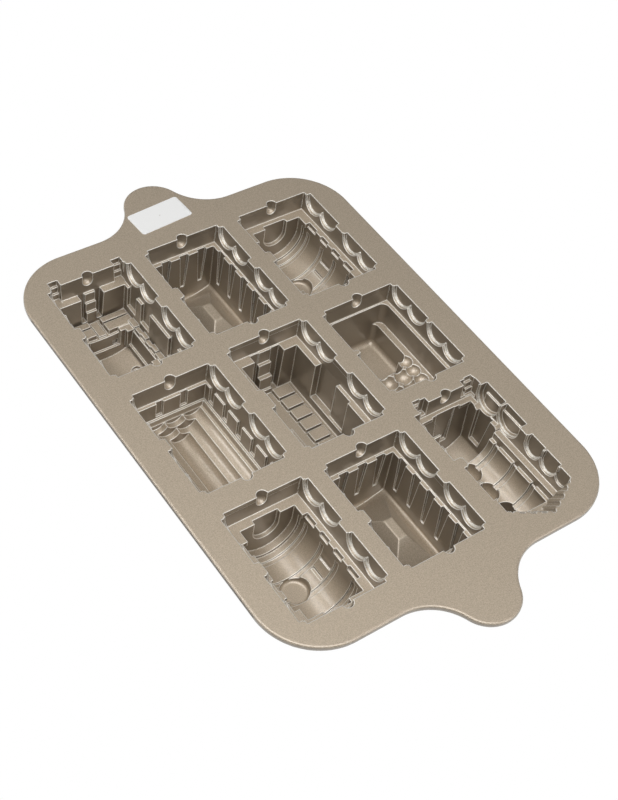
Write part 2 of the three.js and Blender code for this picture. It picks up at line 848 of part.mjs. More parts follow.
function trayOutline() {
  const lobeCentre = halfLength + HANDLE_REACH - HANDLE_LOBE_RADIUS;
  const flankRise = halfLength + HANDLE_FLANK_RADIUS - lobeCentre;
  const flankX = Math.sqrt((HANDLE_LOBE_RADIUS + HANDLE_FLANK_RADIUS) ** 2 - flankRise ** 2);
  const lean = Math.atan2(flankRise, flankX);
  const cornerX = halfWidth - CORNER_RADIUS;
  const cornerY = halfLength - CORNER_RADIUS;
  const flankY = halfLength + HANDLE_FLANK_RADIUS;
  const quarter = Math.PI / 2;
  const shape = new THREE.Shape();
  shape.moveTo(halfWidth, -cornerY);
  shape.absarc(cornerX, cornerY, CORNER_RADIUS, 0, quarter, false);
  shape.absarc(flankX, flankY, HANDLE_FLANK_RADIUS, -quarter, -Math.PI + lean, true);
  shape.absarc(0, lobeCentre, HANDLE_LOBE_RADIUS, lean, Math.PI - lean, false);
  shape.absarc(-flankX, flankY, HANDLE_FLANK_RADIUS, -lean, -quarter, true);
  shape.absarc(-cornerX, cornerY, CORNER_RADIUS, quarter, Math.PI, false);
  shape.absarc(-cornerX, -cornerY, CORNER_RADIUS, Math.PI, 3 * quarter, false);
  shape.absarc(-flankX, -flankY, HANDLE_FLANK_RADIUS, quarter, lean, true);
  shape.absarc(0, -lobeCentre, HANDLE_LOBE_RADIUS, Math.PI + lean, 2 * Math.PI - lean, false);
  shape.absarc(flankX, -flankY, HANDLE_FLANK_RADIUS, Math.PI - lean, quarter, true);
  shape.absarc(cornerX, -cornerY, CORNER_RADIUS, -quarter, 0, false);
  return shape;
}

function deckPlate() {
  const geometry = new THREE.ExtrudeGeometry(trayOutline(), {
    depth: DECK_THICKNESS - 2 * RIM_ROUND,
    bevelThickness: RIM_ROUND,
    bevelSize: RIM_ROUND,
    bevelOffset: -RIM_ROUND,
    bevelSegments: 1,
    curveSegments: ARC_STEPS,
  });
  geometry.translate(0, 0, RIM_ROUND - DECK_THICKNESS);
  return solid(geometry);
}

// Cups

const under = 2 * (ROOF_DEPTH + WALL);
const cupSpace = block(
  mirrored(2 * columnPitch),
  mirrored(2 * halfLength),
  [DECK_THICKNESS, PAN_HEIGHT],
);
const mouthSpace = block(mirrored(2 * columnPitch), mirrored(2 * halfLength), [-under, under]);

function cavityOf(car) {
  const cavity = union(car.cavity).intersect(mouthSpace);
  return car.cores.length ? cavity.subtract(union(car.cores)) : cavity;
}

let deck = deckPlate();
for (const { name, car, x, y } of places) {
  const cavity = cavityOf(car);
  let cup = union(car.shell).intersect(cupSpace).subtract(cavity);
  if (car.hollows.length) cup = cup.subtract(union(car.hollows));
  deck = deck.subtract(cavity.translate([x, y, 0]));
  const [stem, place] = name.split(/_(?=far$|near$)/);
  const label = place ? `${stem}_cup_${place}` : `${stem}_cup`;
  addPiece(label, toGeometry(cup), coatedMetal(0x9c9181), [x, y, PAN_HEIGHT]);
}
addPiece('deck_plate', toGeometry(deck), coatedMetal(0xa89b88), [0, 0, PAN_HEIGHT]);

// Blank paper label

function labelOutline() {
  const x = LABEL_WIDTH / 2;
  const y = LABEL_HEIGHT / 2;
  const r = LABEL_CORNER;
  const shape = new THREE.Shape();
  shape.moveTo(x, r - y);
  shape.absarc(x - r, y - r, r, 0, Math.PI / 2, false);
  shape.absarc(r - x, y - r, r, Math.PI / 2, Math.PI, false);
  shape.absarc(r - x, r - y, r, Math.PI, 1.5 * Math.PI, false);
  shape.absarc(x - r, r - y, r, -Math.PI / 2, 0, false);
  return shape;
}

const paper = new THREE.MeshStandardMaterial({ color: 0xf2f1ee, roughness: 0.7, metalness: 0 });
const labelGeometry = new THREE.ExtrudeGeometry(labelOutline(), {
  depth: LABEL_THICKNESS,
  bevelEnabled: false,
  curveSegments: ARC_STEPS / 2,
});
addPiece('blank_label', labelGeometry, paper, [-LABEL_OFFSET, halfLength + LABEL_OVER_EDGE, PAN_HEIGHT]);

export default pan;
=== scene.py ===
"""Looks of the train cake pan: the casting's rounded surfaces, its coat and the studio around it.

The casting is described by distance fields: every form of the train is a small formula for how far a point lies
outside it, and forms are joined or cut with a little easing, as a casting's edges are rounded. Each car's share of the
pan has two fields, one for the deck's face with the hollow and one for its back with the cup's outside. Their zero
surfaces are meshed with the sharp edges kept, and shared out among the deck and the nine cups. Shapes are in
millimetres with depths counted down from the top of the deck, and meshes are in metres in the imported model's frame.
"""

import json
import logging
from dataclasses import dataclass
from enum import Enum
from functools import reduce
from typing import Callable, Iterable, Sequence

import bpy
import numpy as np
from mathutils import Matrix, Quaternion, Vector

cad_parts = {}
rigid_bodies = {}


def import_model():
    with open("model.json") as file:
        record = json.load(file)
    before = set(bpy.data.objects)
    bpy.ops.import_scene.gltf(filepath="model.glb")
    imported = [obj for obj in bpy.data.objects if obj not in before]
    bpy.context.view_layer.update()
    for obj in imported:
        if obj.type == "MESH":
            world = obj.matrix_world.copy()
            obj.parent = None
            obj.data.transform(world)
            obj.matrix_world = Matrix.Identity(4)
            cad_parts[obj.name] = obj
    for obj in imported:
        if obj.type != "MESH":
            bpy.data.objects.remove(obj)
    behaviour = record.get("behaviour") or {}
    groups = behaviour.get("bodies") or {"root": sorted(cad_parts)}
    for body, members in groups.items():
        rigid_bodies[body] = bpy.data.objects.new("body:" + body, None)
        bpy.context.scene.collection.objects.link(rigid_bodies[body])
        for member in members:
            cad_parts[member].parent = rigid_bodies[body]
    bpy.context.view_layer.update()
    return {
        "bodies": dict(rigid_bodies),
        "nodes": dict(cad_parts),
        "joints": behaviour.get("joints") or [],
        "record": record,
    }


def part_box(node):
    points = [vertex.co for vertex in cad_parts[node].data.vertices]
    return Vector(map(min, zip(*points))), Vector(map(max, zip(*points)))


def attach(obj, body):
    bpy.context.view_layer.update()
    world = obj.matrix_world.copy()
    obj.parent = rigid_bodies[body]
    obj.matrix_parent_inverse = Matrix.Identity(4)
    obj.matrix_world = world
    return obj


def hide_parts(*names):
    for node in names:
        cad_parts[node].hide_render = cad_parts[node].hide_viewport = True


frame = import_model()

LOG = logging.getLogger("pan")
Array = np.ndarray
Pair = tuple[float, float]
Triple = tuple[float, float, float]
MM = 0.001
SIDES = (-1.0, 1.0)

# The casting's sizes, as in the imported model
WALL = 3.0
DECK = 4.0
ROOF = 58.3
FOOT_FLAT = 0.5
HEIGHT = ROOF + WALL - FOOT_FLAT
SILL = 14.0
SILL_HALF = 28.5
COUPLER = 3.8
STANDARD = 89.0

# Sampling and easing
FINE_STEP = 0.62
BACK_STEP = 1.2
MARGIN = 3.5
FAR = 60.0
SHELL_EASE = 3.0
SHARP_ANGLE = 0.6
TINY = 1e-9
BOUNDLESS = 1000.0

# Where forms start and end so that they run into each other: over the deck, over the sill's floor, under all floors
ABOVE = -2.0
IN_SILL = SILL - 3.0
BENEATH = 60.0

# Rounding of fine detail, of trim, of straps and bands, of the hollows, of the cups' outside and of the running gear's
CRISP = 0.2
TRIM = 0.3
BAND = 0.25
INNER = 0.5
OUTER = 2.0
GEAR_ROUND = 2.5

# How far the ends of porches and the sides of the running gear lean in
PORCH_DRAFT = 1.0
GEAR_DRAFT = 1.5

# Where the painted highlight on edges and the painted shade on steep walls start and stop: how far an edge turns its
# normal, and how far a face looks up
EDGE_TURN = (0.997, 0.965)
STEEP_RISE = (0.6, 0.1)


def meet(rounding: float, *walls: Array) -> Array:
    """Intersects faces and rounds the edges where they meet.

    Args:
        rounding: Radius of the rounded edges.
        walls: For each face, the distance outside it.

    Returns:
        The length of the positive parts of the distances to faces set in by the rounding, plus the largest of them
        where all are negative, less the rounding.
    """
    inset = [wall + rounding for wall in walls]
    outside = sum(np.square(np.maximum(wall, 0.0)) for wall in inset)
    return np.sqrt(outside) + np.minimum(reduce(np.maximum, inset), 0.0) - rounding


def ease_min(a: Array, b: Array, width: float) -> Array:
    """Joins two distances with the corner between them eased.

    Args:
        a: One distance.
        b: The other.
        width: How far apart they may be and still be eased, or 0 for no easing.

    Returns:
        The smaller of the two, less a quarter of the width times the square of their closeness.
    """
    if width <= 0.0:
        return np.minimum(a, b)
    closeness = np.maximum(width - np.abs(a - b), 0.0) / width
    return np.minimum(a, b) - 0.25 * width * np.square(closeness)


@dataclass(frozen=True)
class Span:
    """A stretch of one axis, in millimetres."""

    lo: float
    hi: float

    @staticmethod
    def about(middle: float, half: float) -> "Span":
        """Returns the stretch that reaches half to either side of middle."""
        return Span(middle - half, middle + half)

    def beyond(self, t: Array, lean: Array | float = 0.0) -> Array:
        """Returns the distance of t outside the stretch, with both ends drawn in by lean."""
        return np.abs(t - 0.5 * (self.lo + self.hi)) - 0.5 * (self.hi - self.lo) + lean

    def share(self, t: Array) -> Array:
        """Returns the share of the stretch that t has come along, from 0 to 1."""
        return np.clip((t - self.lo) / (self.hi - self.lo), 0.0, 1.0)

    def grown(self, by: float) -> "Span":
        """Returns the stretch with both ends moved out by a distance."""
        return Span(self.lo - by, self.hi + by)


Box = tuple[Span, Span, Span]


def mid(half: float) -> Span:
    """Returns the stretch that reaches half to either side of the middle."""
    return Span.about(0.0, half)


def flank(side: float, near: float, far: float) -> Span:
    """Returns the stretch between two distances from the middle, on the side that the sign tells."""
    return Span(min(side * near, side * far), max(side * near, side * far))


class Shape:
    """A form, which tells how far points lie outside it by the formula that its class gives in words."""

    def box(self) -> Box:
        """Returns the stretches of x, y and depth it takes up."""
        raise NotImplementedError

    def distance(self, x: Array, y: Array, d: Array) -> Array:
        """Measures points.

        Args:
            x: Places across the pan.
            y: Places along the pan.
            d: Depths under the top of the deck.

        Returns:
            How far the points lie outside the form, negative within it.
        """
        raise NotImplementedError


@dataclass(frozen=True)
class Block(Shape):
    """A block whose four sides lean in by draft on the way down.

    Its distance is the meeting of its plan, top and bottom faces. The plan is the meeting of its sides and ends with
    the corner radius, and they move in by the draft times the share of the depth that a point has come down.
    """

    x: Span
    y: Span
    d: Span
    draft: float = 0.0
    rounding: float = 0.5
    corner: float = 0.0

    def box(self) -> Box:
        """Returns the stretches of x, y and depth it takes up."""
        return self.x, self.y, self.d

    def distance(self, x: Array, y: Array, d: Array) -> Array:
        """Returns how far points lie outside the form."""
        lean = self.draft * (d - self.d.lo) / (self.d.hi - self.d.lo)
        sides = self.x.beyond(x, lean), self.y.beyond(y, lean)
        if self.corner > 0.0:
            return meet(self.rounding, meet(self.corner, *sides), self.d.beyond(d))
        return meet(self.rounding, *sides, self.d.beyond(d))


@dataclass(frozen=True)
class Trough(Shape):
    """Upright sides that end in a half round, carried along y, or along x for a wheel.

    Its section's distance is that to the upright sides above the centre, and below it the distance from the centre
    less the radius. It meets the ends, which draw in by the draft for each millimetre of depth, and the top.
    """

    middle: float
    radius: float
    centre: float
    length: Span
    top: float = ABOVE
    rounding: float = 0.6
    across: bool = False
    draft: float = 0.0

    def box(self) -> Box:
        """Returns the stretches of x, y and depth it takes up."""
        section = Span.about(self.middle, self.radius)
        depths = Span(self.top, self.centre + self.radius)
        return (self.length, section, depths) if self.across else (section, self.length, depths)

    def distance(self, x: Array, y: Array, d: Array) -> Array:
        """Returns how far points lie outside the form."""
        side, along = (y, x) if self.across else (x, y)
        section = np.hypot(side - self.middle, np.maximum(d - self.centre, 0.0)) - self.radius
        ends = (self.length.beyond(along) + self.draft * np.maximum(d, 0.0)) / np.hypot(1.0, self.draft)
        return meet(self.rounding, section, ends, self.top - d)


@dataclass(frozen=True)
class Arch(Shape):
    """Upright sides down to the eaves with a flat arch between them, carried along y.

    Its distance is the meeting of the sides, the ends, the top and a large cylinder through eaves and crown.
    """

    half: float
    length: Span
    top: float
    eaves: float
    crown: float
    rounding: float = 0.8

    def box(self) -> Box:
        """Returns the stretches of x, y and depth it takes up."""
        return mid(self.half), self.length, Span(self.top, self.crown)

    def distance(self, x: Array, y: Array, d: Array) -> Array:
        """Returns how far points lie outside the form."""
        rise = self.crown - self.eaves
        radius = (self.half**2 + rise**2) / (2.0 * rise)
        floor = np.hypot(x, np.maximum(d - self.crown + radius, 0.0)) - radius
        return meet(self.rounding, np.abs(x) - self.half, self.length.beyond(y), floor, self.top - d)


@dataclass(frozen=True)
class Drum(Shape):
    """An upright round form whose radius changes evenly from top to bottom.

    Its distance is the meeting of the axis distance less the radius at that depth with the top and bottom faces.
    """

    x: float
    y: float
    top_radius: float
    low_radius: float
    d: Span
    rounding: float = 0.8

    def box(self) -> Box:
        """Returns the stretches of x, y and depth it takes up."""
        radius = max(self.top_radius, self.low_radius)
        return Span.about(self.x, radius), Span.about(self.y, radius), self.d

    def distance(self, x: Array, y: Array, d: Array) -> Array:
        """Returns how far points lie outside the form."""
        share = self.d.share(d)
        radius = self.top_radius + (self.low_radius - self.top_radius) * share
        return meet(self.rounding, np.hypot(x - self.x, y - self.y) - radius, self.d.beyond(d))


@dataclass(frozen=True)
class Ball(Shape):
    """A ball: the distance from its centre less its radius."""

    x: float
    y: float
    depth: float
    radius: float

    def box(self) -> Box:
        """Returns the stretches of x, y and depth it takes up."""
        return tuple(Span.about(c, self.radius) for c in (self.x, self.y, self.depth))

    def distance(self, x: Array, y: Array, d: Array) -> Array:
        """Returns how far points lie outside the form."""
        return np.sqrt(np.square(x - self.x) + np.square(y - self.y) + np.square(d - self.depth)) - self.radius


@dataclass(frozen=True)
class Egg(Shape):
    """An egg with its own half length in each direction.

    With p the point over the half lengths and q the point over their squares, its distance is close to the length of
    p times that length less one, over the length of q.
    """

    y: float
    depth: float
    half: Triple

    def box(self) -> Box:
        """Returns the stretches of x, y and depth it takes up."""
        return tuple(Span.about(c, h) for c, h in zip((0.0, self.y, self.depth), self.half))

    def distance(self, x: Array, y: Array, d: Array) -> Array:
        """Returns how far points lie outside the form."""
        a, b, c = self.half
        v, w = y - self.y, d - self.depth
        p = np.sqrt(np.square(x / a) + np.square(v / b) + np.square(w / c))
        q = np.sqrt(np.square(x / a**2) + np.square(v / b**2) + np.square(w / c**2))
        return p * (p - 1.0) / np.maximum(q, 1e-6)


@dataclass(frozen=True)
class Taper(Shape):
    """A form with one rectangle at its top and another at its foot.

    Its sides are blended between the two by the share of the depth that a point has come down, and it is the meeting
    of those sides with the top and bottom faces.
    """

    top: tuple[Span, Span]
    foot: tuple[Span, Span]
    d: Span
    rounding: float = 0.35

    def box(self) -> Box:
        """Returns the stretches of x, y and depth it takes up."""
        wide = [Span(min(a.lo, b.lo), max(a.hi, b.hi)) for a, b in zip(self.top, self.foot)]
        return wide[0], wide[1], self.d

    def distance(self, x: Array, y: Array, d: Array) -> Array:
        """Returns how far points lie outside the form."""
        share = self.d.share(d)
        faces = []
        for t, a, b in zip((x, y), self.top, self.foot):
            faces.append(np.maximum(a.lo + (b.lo - a.lo) * share - t, t - a.hi - (b.hi - a.hi) * share))
        return meet(self.rounding, *faces, self.d.beyond(d))


@dataclass(frozen=True)
class Hip(Shape):
    """A hipped heap that widens evenly on the way down from a small flat top.

    Its distance is the meeting of its top with four faces, each measured square to its slope.
    """

    top_half: Pair
    foot_half: Pair
    d: Span
    foot: float
    rounding: float = 0.6

    def box(self) -> Box:
        """Returns the stretches of x, y and depth it takes up."""
        grow = (self.foot - self.d.lo) / (self.d.hi - self.d.lo)
        half = [a + (b - a) * grow for a, b in zip(self.top_half, self.foot_half)]
        return mid(half[0]), mid(half[1]), Span(self.d.lo, self.foot)

    def distance(self, x: Array, y: Array, d: Array) -> Array:
        """Returns how far points lie outside the form."""
        down = d - self.d.lo
        faces = []
        for t, top, low in zip((x, y), self.top_half, self.foot_half):
            slope = (low - top) / (self.d.hi - self.d.lo)
            faces.append((np.abs(t) - top - slope * down) / np.hypot(1.0, slope))
        return meet(self.rounding, *faces, self.d.lo - d)


@dataclass(frozen=True)
class Plough(Shape):
    """A pointed plan with two slants a side, drawn in with depth: the locomotive's pilot.

    Its distance is the meeting of the sides, the two pairs of slanted faces, the back and the bottom. The slanted
    faces lean in by a fixed run for each millimetre of depth and have ribs: a cut-off cosine of the distance from the
    middle.
    """

    half: float
    shoulder: Pair
    front: float
    tip: float
    d: Span
    lean: float
    rib: float
    rounding: float = 0.6
    rib_pitch: float = 6.2
    rib_edge: float = 3.0
    back: float = 4.0

    def box(self) -> Box:
        """Returns the stretches of x, y and depth it takes up."""
        return mid(self.half), Span(-self.tip, -self.front + self.back), self.d

    def distance(self, x: Array, y: Array, d: Array) -> Array:
        """Returns how far points lie outside the form."""
        sx, sy = self.shoulder
        slants = []
        for x0, y0, x1, y1 in ((self.half, self.front, sx, sy), (sx, sy, 0.0, self.tip)):
            nx, ny = y1 - y0, x0 - x1
            slants.append(((np.abs(x) - x0) * nx + (-y - y0) * ny) / np.hypot(nx, ny))
        ribs = self.rib * np.clip(self.rib_edge * np.cos(2.0 * np.pi * np.abs(x) / self.rib_pitch), -1.0, 1.0)
        face = (reduce(np.maximum, slants) - ribs + self.lean * d) / np.hypot(1.0, self.lean)
        return meet(self.rounding, face, np.abs(x) - self.half, y + self.front - self.back, self.d.beyond(d))


class Samples:
    """Sample places with the distance of each outside the forms joined so far."""

    field: Array

    def like(self) -> "Samples":
        """Returns the same places with nothing joined."""
        raise NotImplementedError

    def local(self, shape: Shape) -> tuple[object, Array]:
        """Measures the places near a form.

        Args:
            shape: The form.

        Returns:
            Which places lie near the form, and their distances outside it.
        """
        raise NotImplementedError

    def join(self, shapes: Iterable[Shape], ease: float = 0.0) -> None:
        """Joins forms to the field, with inner corners eased.

        Args:
            shapes: The forms.
            ease: Width of the easing, or 0 for none.
        """
        for shape in shapes:
            where, distance = self.local(shape)
            self.field[where] = ease_min(self.field[where], distance, ease)

    def cut(self, shapes: Iterable[Shape], ease: float = 0.0) -> None:
        """Takes forms out of the field, with edges eased.

        Args:
            shapes: The forms.
            ease: Width of the easing, or 0 for none.
        """
        for shape in shapes:
            where, distance = self.local(shape)
            self.field[where] = -ease_min(-self.field[where], distance, ease)


class Volume(Samples):
    """Sample places on a lattice."""

    def __init__(self, x: Array, y: Array, z: Array) -> None:
        """Starts with nothing in the box.

        Args:
            x: Sample places across the pan.
            y: Sample places along the pan.
            z: Sample heights over the top of the deck, rising.
        """
        self.axes = (x, y, z)
        self.field = np.full((len(x), len(y), len(z)), FAR, np.float32)

    def like(self) -> "Volume":
        """Returns the same places with nothing joined."""
        return Volume(*self.axes)

    def local(self, shape: Shape) -> tuple[object, Array]:
        """Returns which places lie near a form, and their distances outside it."""
        box = shape.box()
        spans = (box[0], box[1], Span(-box[2].hi, -box[2].lo))
        where = tuple(
            slice(*np.searchsorted(axis, (span.lo - MARGIN, span.hi + MARGIN))) for axis, span in zip(self.axes, spans)
        )
        x, y, z = (axis[part] for axis, part in zip(self.axes, where))
        return where, shape.distance(x[:, None, None], y[None, :, None], -z[None, None, :])


class Cloud(Samples):
    """Sample places at loose points."""

    def __init__(self, points: Array) -> None:
        """Starts with nothing round the points, which are rows of x, y and height over the deck's top."""
        self.points = points
        self.field = np.full(len(points), FAR)

    def like(self) -> "Cloud":
        """Returns the same places with nothing joined."""
        return Cloud(self.points)

    def local(self, shape: Shape) -> tuple[object, Array]:
        """Returns which places lie near a form, and their distances outside it."""
        places = self.points * np.array([1.0, 1.0, -1.0])
        near = np.ones(len(places), bool)
        for axis, span in enumerate(shape.box()):
            near &= (places[:, axis] > span.lo - MARGIN) & (places[:, axis] < span.hi + MARGIN)
        where = np.flatnonzero(near)
        return where, shape.distance(*places[where].T)


@dataclass(frozen=True)
class Reach:
    """How far a car's mouth goes from its origin to the far and the near end."""

    far: float
    near: float


@dataclass(frozen=True)
class WheelSet:
    """Wheels of one size next to each other: their places along the car, radius, reach from the wall and depth."""

    places: tuple[float, ...]
    radius: float
    reach: float
    centre: float = 5.7


@dataclass(frozen=True)
class Car:
    """One car of the train, as the forms of its cavity and of the cup's outside."""

    length: float = STANDARD
    sill: float = SILL_HALF
    bogie_inset: float = 21.3
    wheel_gap: float = 17.4
    wheel_radius: float = 10.0
    wheel_reach: float = 3.5
    tread_reach: float = 1.2
    face_inset: float = 0.7
    face_draft: float = 0.17
    behind_wall: float = 4.0
    coupler_depth: float = 5.0
    coupler_boss: float = 8.8
    core_ease: float = 0.0

    def reach(self) -> Reach:
        """Returns how far the car's mouth goes from its origin."""
        return Reach(self.length / 2 + COUPLER, self.length / 2 + COUPLER)

    def wheel_sets(self) -> list[WheelSet]:
        """Returns the two wheels of each bogie."""
        middles = [side * (self.length / 2 - self.bogie_inset) for side in SIDES]
        pairs = [(m - self.wheel_gap / 2, m + self.wheel_gap / 2) for m in middles]
        return [WheelSet(pair, self.wheel_radius, self.wheel_reach, 0.0) for pair in pairs]

    def coupler(self, end: float) -> list[Shape]:
        """Returns the round well of the coupler on an end wall."""
        well = Drum(0.0, end, COUPLER, COUPLER, Span(ABOVE, self.coupler_depth + 0.2), TRIM)
        return [well, Ball(0.0, end, self.coupler_depth, COUPLER)]

    def boss(self, end: float) -> Drum:
        """Returns the outside of the coupler's well."""
        radius = COUPLER + WALL
        return Drum(0, end, radius, 0.6 * radius, Span(0, self.coupler_boss + WALL), OUTER)

    def wheel_hollows(self, side: float) -> list[Shape]:
        """Returns a side wall's wheels: for each a tread next to the wall and a smaller face beyond it.

        Args:
            side: Which side they are on, -1 or 1.
        """
        forms: list[Shape] = []
        behind = self.sill - self.behind_wall
        tread = flank(side, behind, self.sill + self.tread_reach)
        for group in self.wheel_sets():
            face, inner = flank(side, behind, self.sill + group.reach), group.radius - self.face_inset
            for y in group.places:
                forms.append(Trough(y, group.radius, group.centre, tread, rounding=CRISP, across=True))
                forms.append(Trough(y, inner, group.centre, face, ABOVE, CRISP, True, self.face_draft))
        return forms

    def wheel_shells(self, side: float) -> list[Shape]:
        """Returns the outside of a side wall's wheels, a leaning block for each set.

        Args:
            side: Which side they are on, -1 or 1.
        """
        forms: list[Shape] = []
        for group in self.wheel_sets():
            reach = flank(side, 0.0, self.sill + group.reach + WALL)
            along = Span(group.places[0] - group.radius - WALL, group.places[-1] + group.radius + WALL)
            depths = Span(0, group.centre + group.radius + WALL)
            forms.append(Block(reach, along, depths, GEAR_DRAFT, GEAR_ROUND))
        return forms

    def gear(self) -> list[Shape]:
        """Returns the cavity of the sill, the wheels and the couplers."""
        end = self.length / 2
        plan = mid(self.sill), mid(end)
        forms: list[Shape] = [Block(*plan, Span(ABOVE, DECK + 0.4)), Block(*plan, Span(DECK, SILL), GEAR_DRAFT)]
        for side in SIDES:
            forms += self.coupler(side * end) + self.wheel_hollows(side)
        return forms

    def gear_shell(self) -> list[Shape]:
        """Returns the outside of the running gear."""
        end = self.length / 2
        plan = mid(self.sill + WALL), mid(end + WALL)
        forms: list[Shape] = [Block(*plan, Span(0, SILL + WALL), GEAR_DRAFT, GEAR_ROUND)]
        for side in SIDES:
            forms += [self.boss(side * end)] + self.wheel_shells(side)
        return forms

    def cavity(self) -> list[Shape]:
        """Returns the forms that are hollow."""
        raise NotImplementedError

    def cores(self) -> list[Shape]:
        """Returns the forms that stand up inside the hollow."""
        return []

    def shell(self) -> list[Shape]:
        """Returns the forms of the outside."""
        raise NotImplementedError

    def hollows(self) -> list[Shape]:
        """Returns the forms that are hollow from beneath."""
        return []


@dataclass(frozen=True)
class HopperCar(Car):
    """Ribbed walls, an arched top and a hopper bay that stands up from the floor as a hip."""

    core_ease: float = 5.0
    half: float = 24.0
    half_length: float = 39.5
    eaves: float = 52.0
    panel_pitch: float = 14.75
    panel_rise: Pair = (2.0, 0.9)
    panel_half: Pair = (3.6, 1.5)
    panel_depth: Span = Span(SILL - 2.0, 44.0)
    bay_top: Pair = (3.2, 8.05)
    bay_foot: Pair = (20.5, 33.0)
    bay_depth: Span = Span(33.3, 53.5)
    bay_ridge: float = 0.3
    eaves_drop: float = 1.5
    below: float = ROOF + WALL + 2.0

    def _panel(self, side: float, wall: float, middle: float, on_end: bool) -> Taper:
        """Returns a panel let into a wall, which narrows and gets shallower on the way down.

        Args:
            side: Which of the two walls it is in, -1 or 1.
            wall: Distance of the wall from the middle.
            middle: Place of the panel along the wall.
            on_end: Whether it is in an end wall.
        """
        levels = []
        for rise, half in zip(self.panel_rise, self.panel_half):
            out = flank(side, wall - 3.0, wall + rise)
            along = Span.about(middle, half)
            levels.append((along, out) if on_end else (out, along))
        return Taper(levels[0], levels[1], self.panel_depth, TRIM)

    def cavity(self) -> list[Shape]:
        """Returns the sill, the body and the panels between the ribs."""
        forms: list[Shape] = [Arch(self.half, mid(self.half_length), IN_SILL, self.eaves, ROOF)]
        for side in SIDES:
            forms += [self._panel(side, self.half, i * self.panel_pitch, False) for i in range(-2, 3)]
            forms += [self._panel(side, self.half_length, i * self.panel_pitch, True) for i in range(-1, 2)]
        return self.gear() + forms

    def cores(self) -> list[Shape]:
        """Returns the hip of the hopper bay."""
        return [Hip(self.bay_top, self.bay_foot, self.bay_depth, self.below, 0.4)]

    def shell(self) -> list[Shape]:
        """Returns the outside of the ribbed body."""
        rise = self.panel_rise[0] + WALL
        ribbed = Block(
            mid(self.half + rise), mid(self.half_length + rise),
            Span(SILL, self.panel_depth.hi + WALL), self.panel_rise[0], OUTER,
        )
        eaves = self.eaves + self.eaves_drop
        body = Arch(self.half + WALL, mid(self.half_length + WALL), SILL, eaves, ROOF + WALL, OUTER)
        return self.gear_shell() + [ribbed, body]

    def hollows(self) -> list[Shape]:
        """Returns the space under the hip."""
        run = self.bay_depth.hi - self.bay_depth.lo
        top, foot = [], []
        for a, b in zip(self.bay_top, self.bay_foot):
            slope = (b - a) / run
            inset = WALL * float(np.hypot(1.0, slope)) - slope * WALL
            top.append(max(a - inset, self.bay_ridge))
            foot.append(b - inset)
        depths = Span(self.bay_depth.lo + WALL, self.bay_depth.hi + WALL)
        return [Hip(tuple(top), tuple(foot), depths, self.below, 1.0)]


@dataclass(frozen=True)
class TankCar(Car):
    """A barrel with strap bands, dished ends, a dome and the steps up to it."""

    radius: float = 22.3
    centre: float = 24.0
    rings: tuple[Pair, ...] = ((22.3, 31.0), (20.2, 36.2), (9.4, 39.3))
    straps: tuple[float, ...] = (-25.0, -8.0, 8.0, 25.0)
    strap_half: float = 1.65
    strap_rise: float = 1.2
    strap_top: float = 22.0
    step_half: float = 5.2
    pad_back: float = 26.9
    pad_depth: float = 18.0
    frame_draft: float = 0.8
    dome_round: float = 1.8
    pads: tuple[tuple[Span, float], ...] = ((mid(3.1), 22.3), (Span(11.4, 17.6), 22.3), (Span(27.5, 37.0), 20.2))
    frame_block: Triple = (24.4, 36.2, 17.5)
    dome: tuple[float, float, Span] = (10.8, 9.2, Span(38.0, 49.5))
    steps: tuple[Triple, ...] = ((13.5, 17.0, 40.5), (19.0, 21.5, 33.0))

    def _barrels(self, grow: float, rounding: float) -> list[Shape]:
        """Returns the barrel with its ends, the frame over it and the dome.

        Args:
            grow: How far the forms are moved out: nothing for the hollow, the wall for the outside.
            rounding: Radius of the rounded edges.
        """
        wide, long, low = self.frame_block
        top_radius, low_radius, depths = self.dome
        forms: list[Shape] = [
            Trough(0.0, r + grow, self.centre, mid(half + grow), IN_SILL, rounding)
            for r, half in self.rings
        ]
        frame = Span(IN_SILL, low + grow)
        forms.append(Block(mid(wide + grow), mid(long + grow), frame, self.frame_draft, rounding))
        dome = Span(depths.lo, depths.hi + grow)
        forms.append(Drum(0, 0, top_radius + grow, low_radius + grow, dome, self.dome_round))
        return forms

    def cavity(self) -> list[Shape]:
        """Returns the frame, the barrel with its bands, the dome and the steps."""
        forms = self._barrels(0.0, INNER)
        for y in self.straps:
            along = Span.about(y, self.strap_half)
            forms.append(Trough(0, self.radius + self.strap_rise, self.centre, along, self.strap_top, BAND))
        for side in SIDES:
            for x0, x1, low in self.steps:
                depths = Span(self.centre, low)
                forms.append(Block(flank(side, x0, x1), mid(self.step_half), depths, 0.0, TRIM))
        return self.gear() + forms

    def cores(self) -> list[Shape]:
        """Returns the pads along the ledge over the barrel."""
        depths = Span(SILL, self.pad_depth)
        return [
            Block(flank(side, x, self.pad_back), flank(end, along.lo, along.hi), depths, 0.0, CRISP)
            for side in SIDES for end in SIDES for along, x in self.pads
        ]

    def shell(self) -> list[Shape]:
        """Returns the outside of the barrel and dome."""
        return self.gear_shell() + self._barrels(WALL, OUTER)


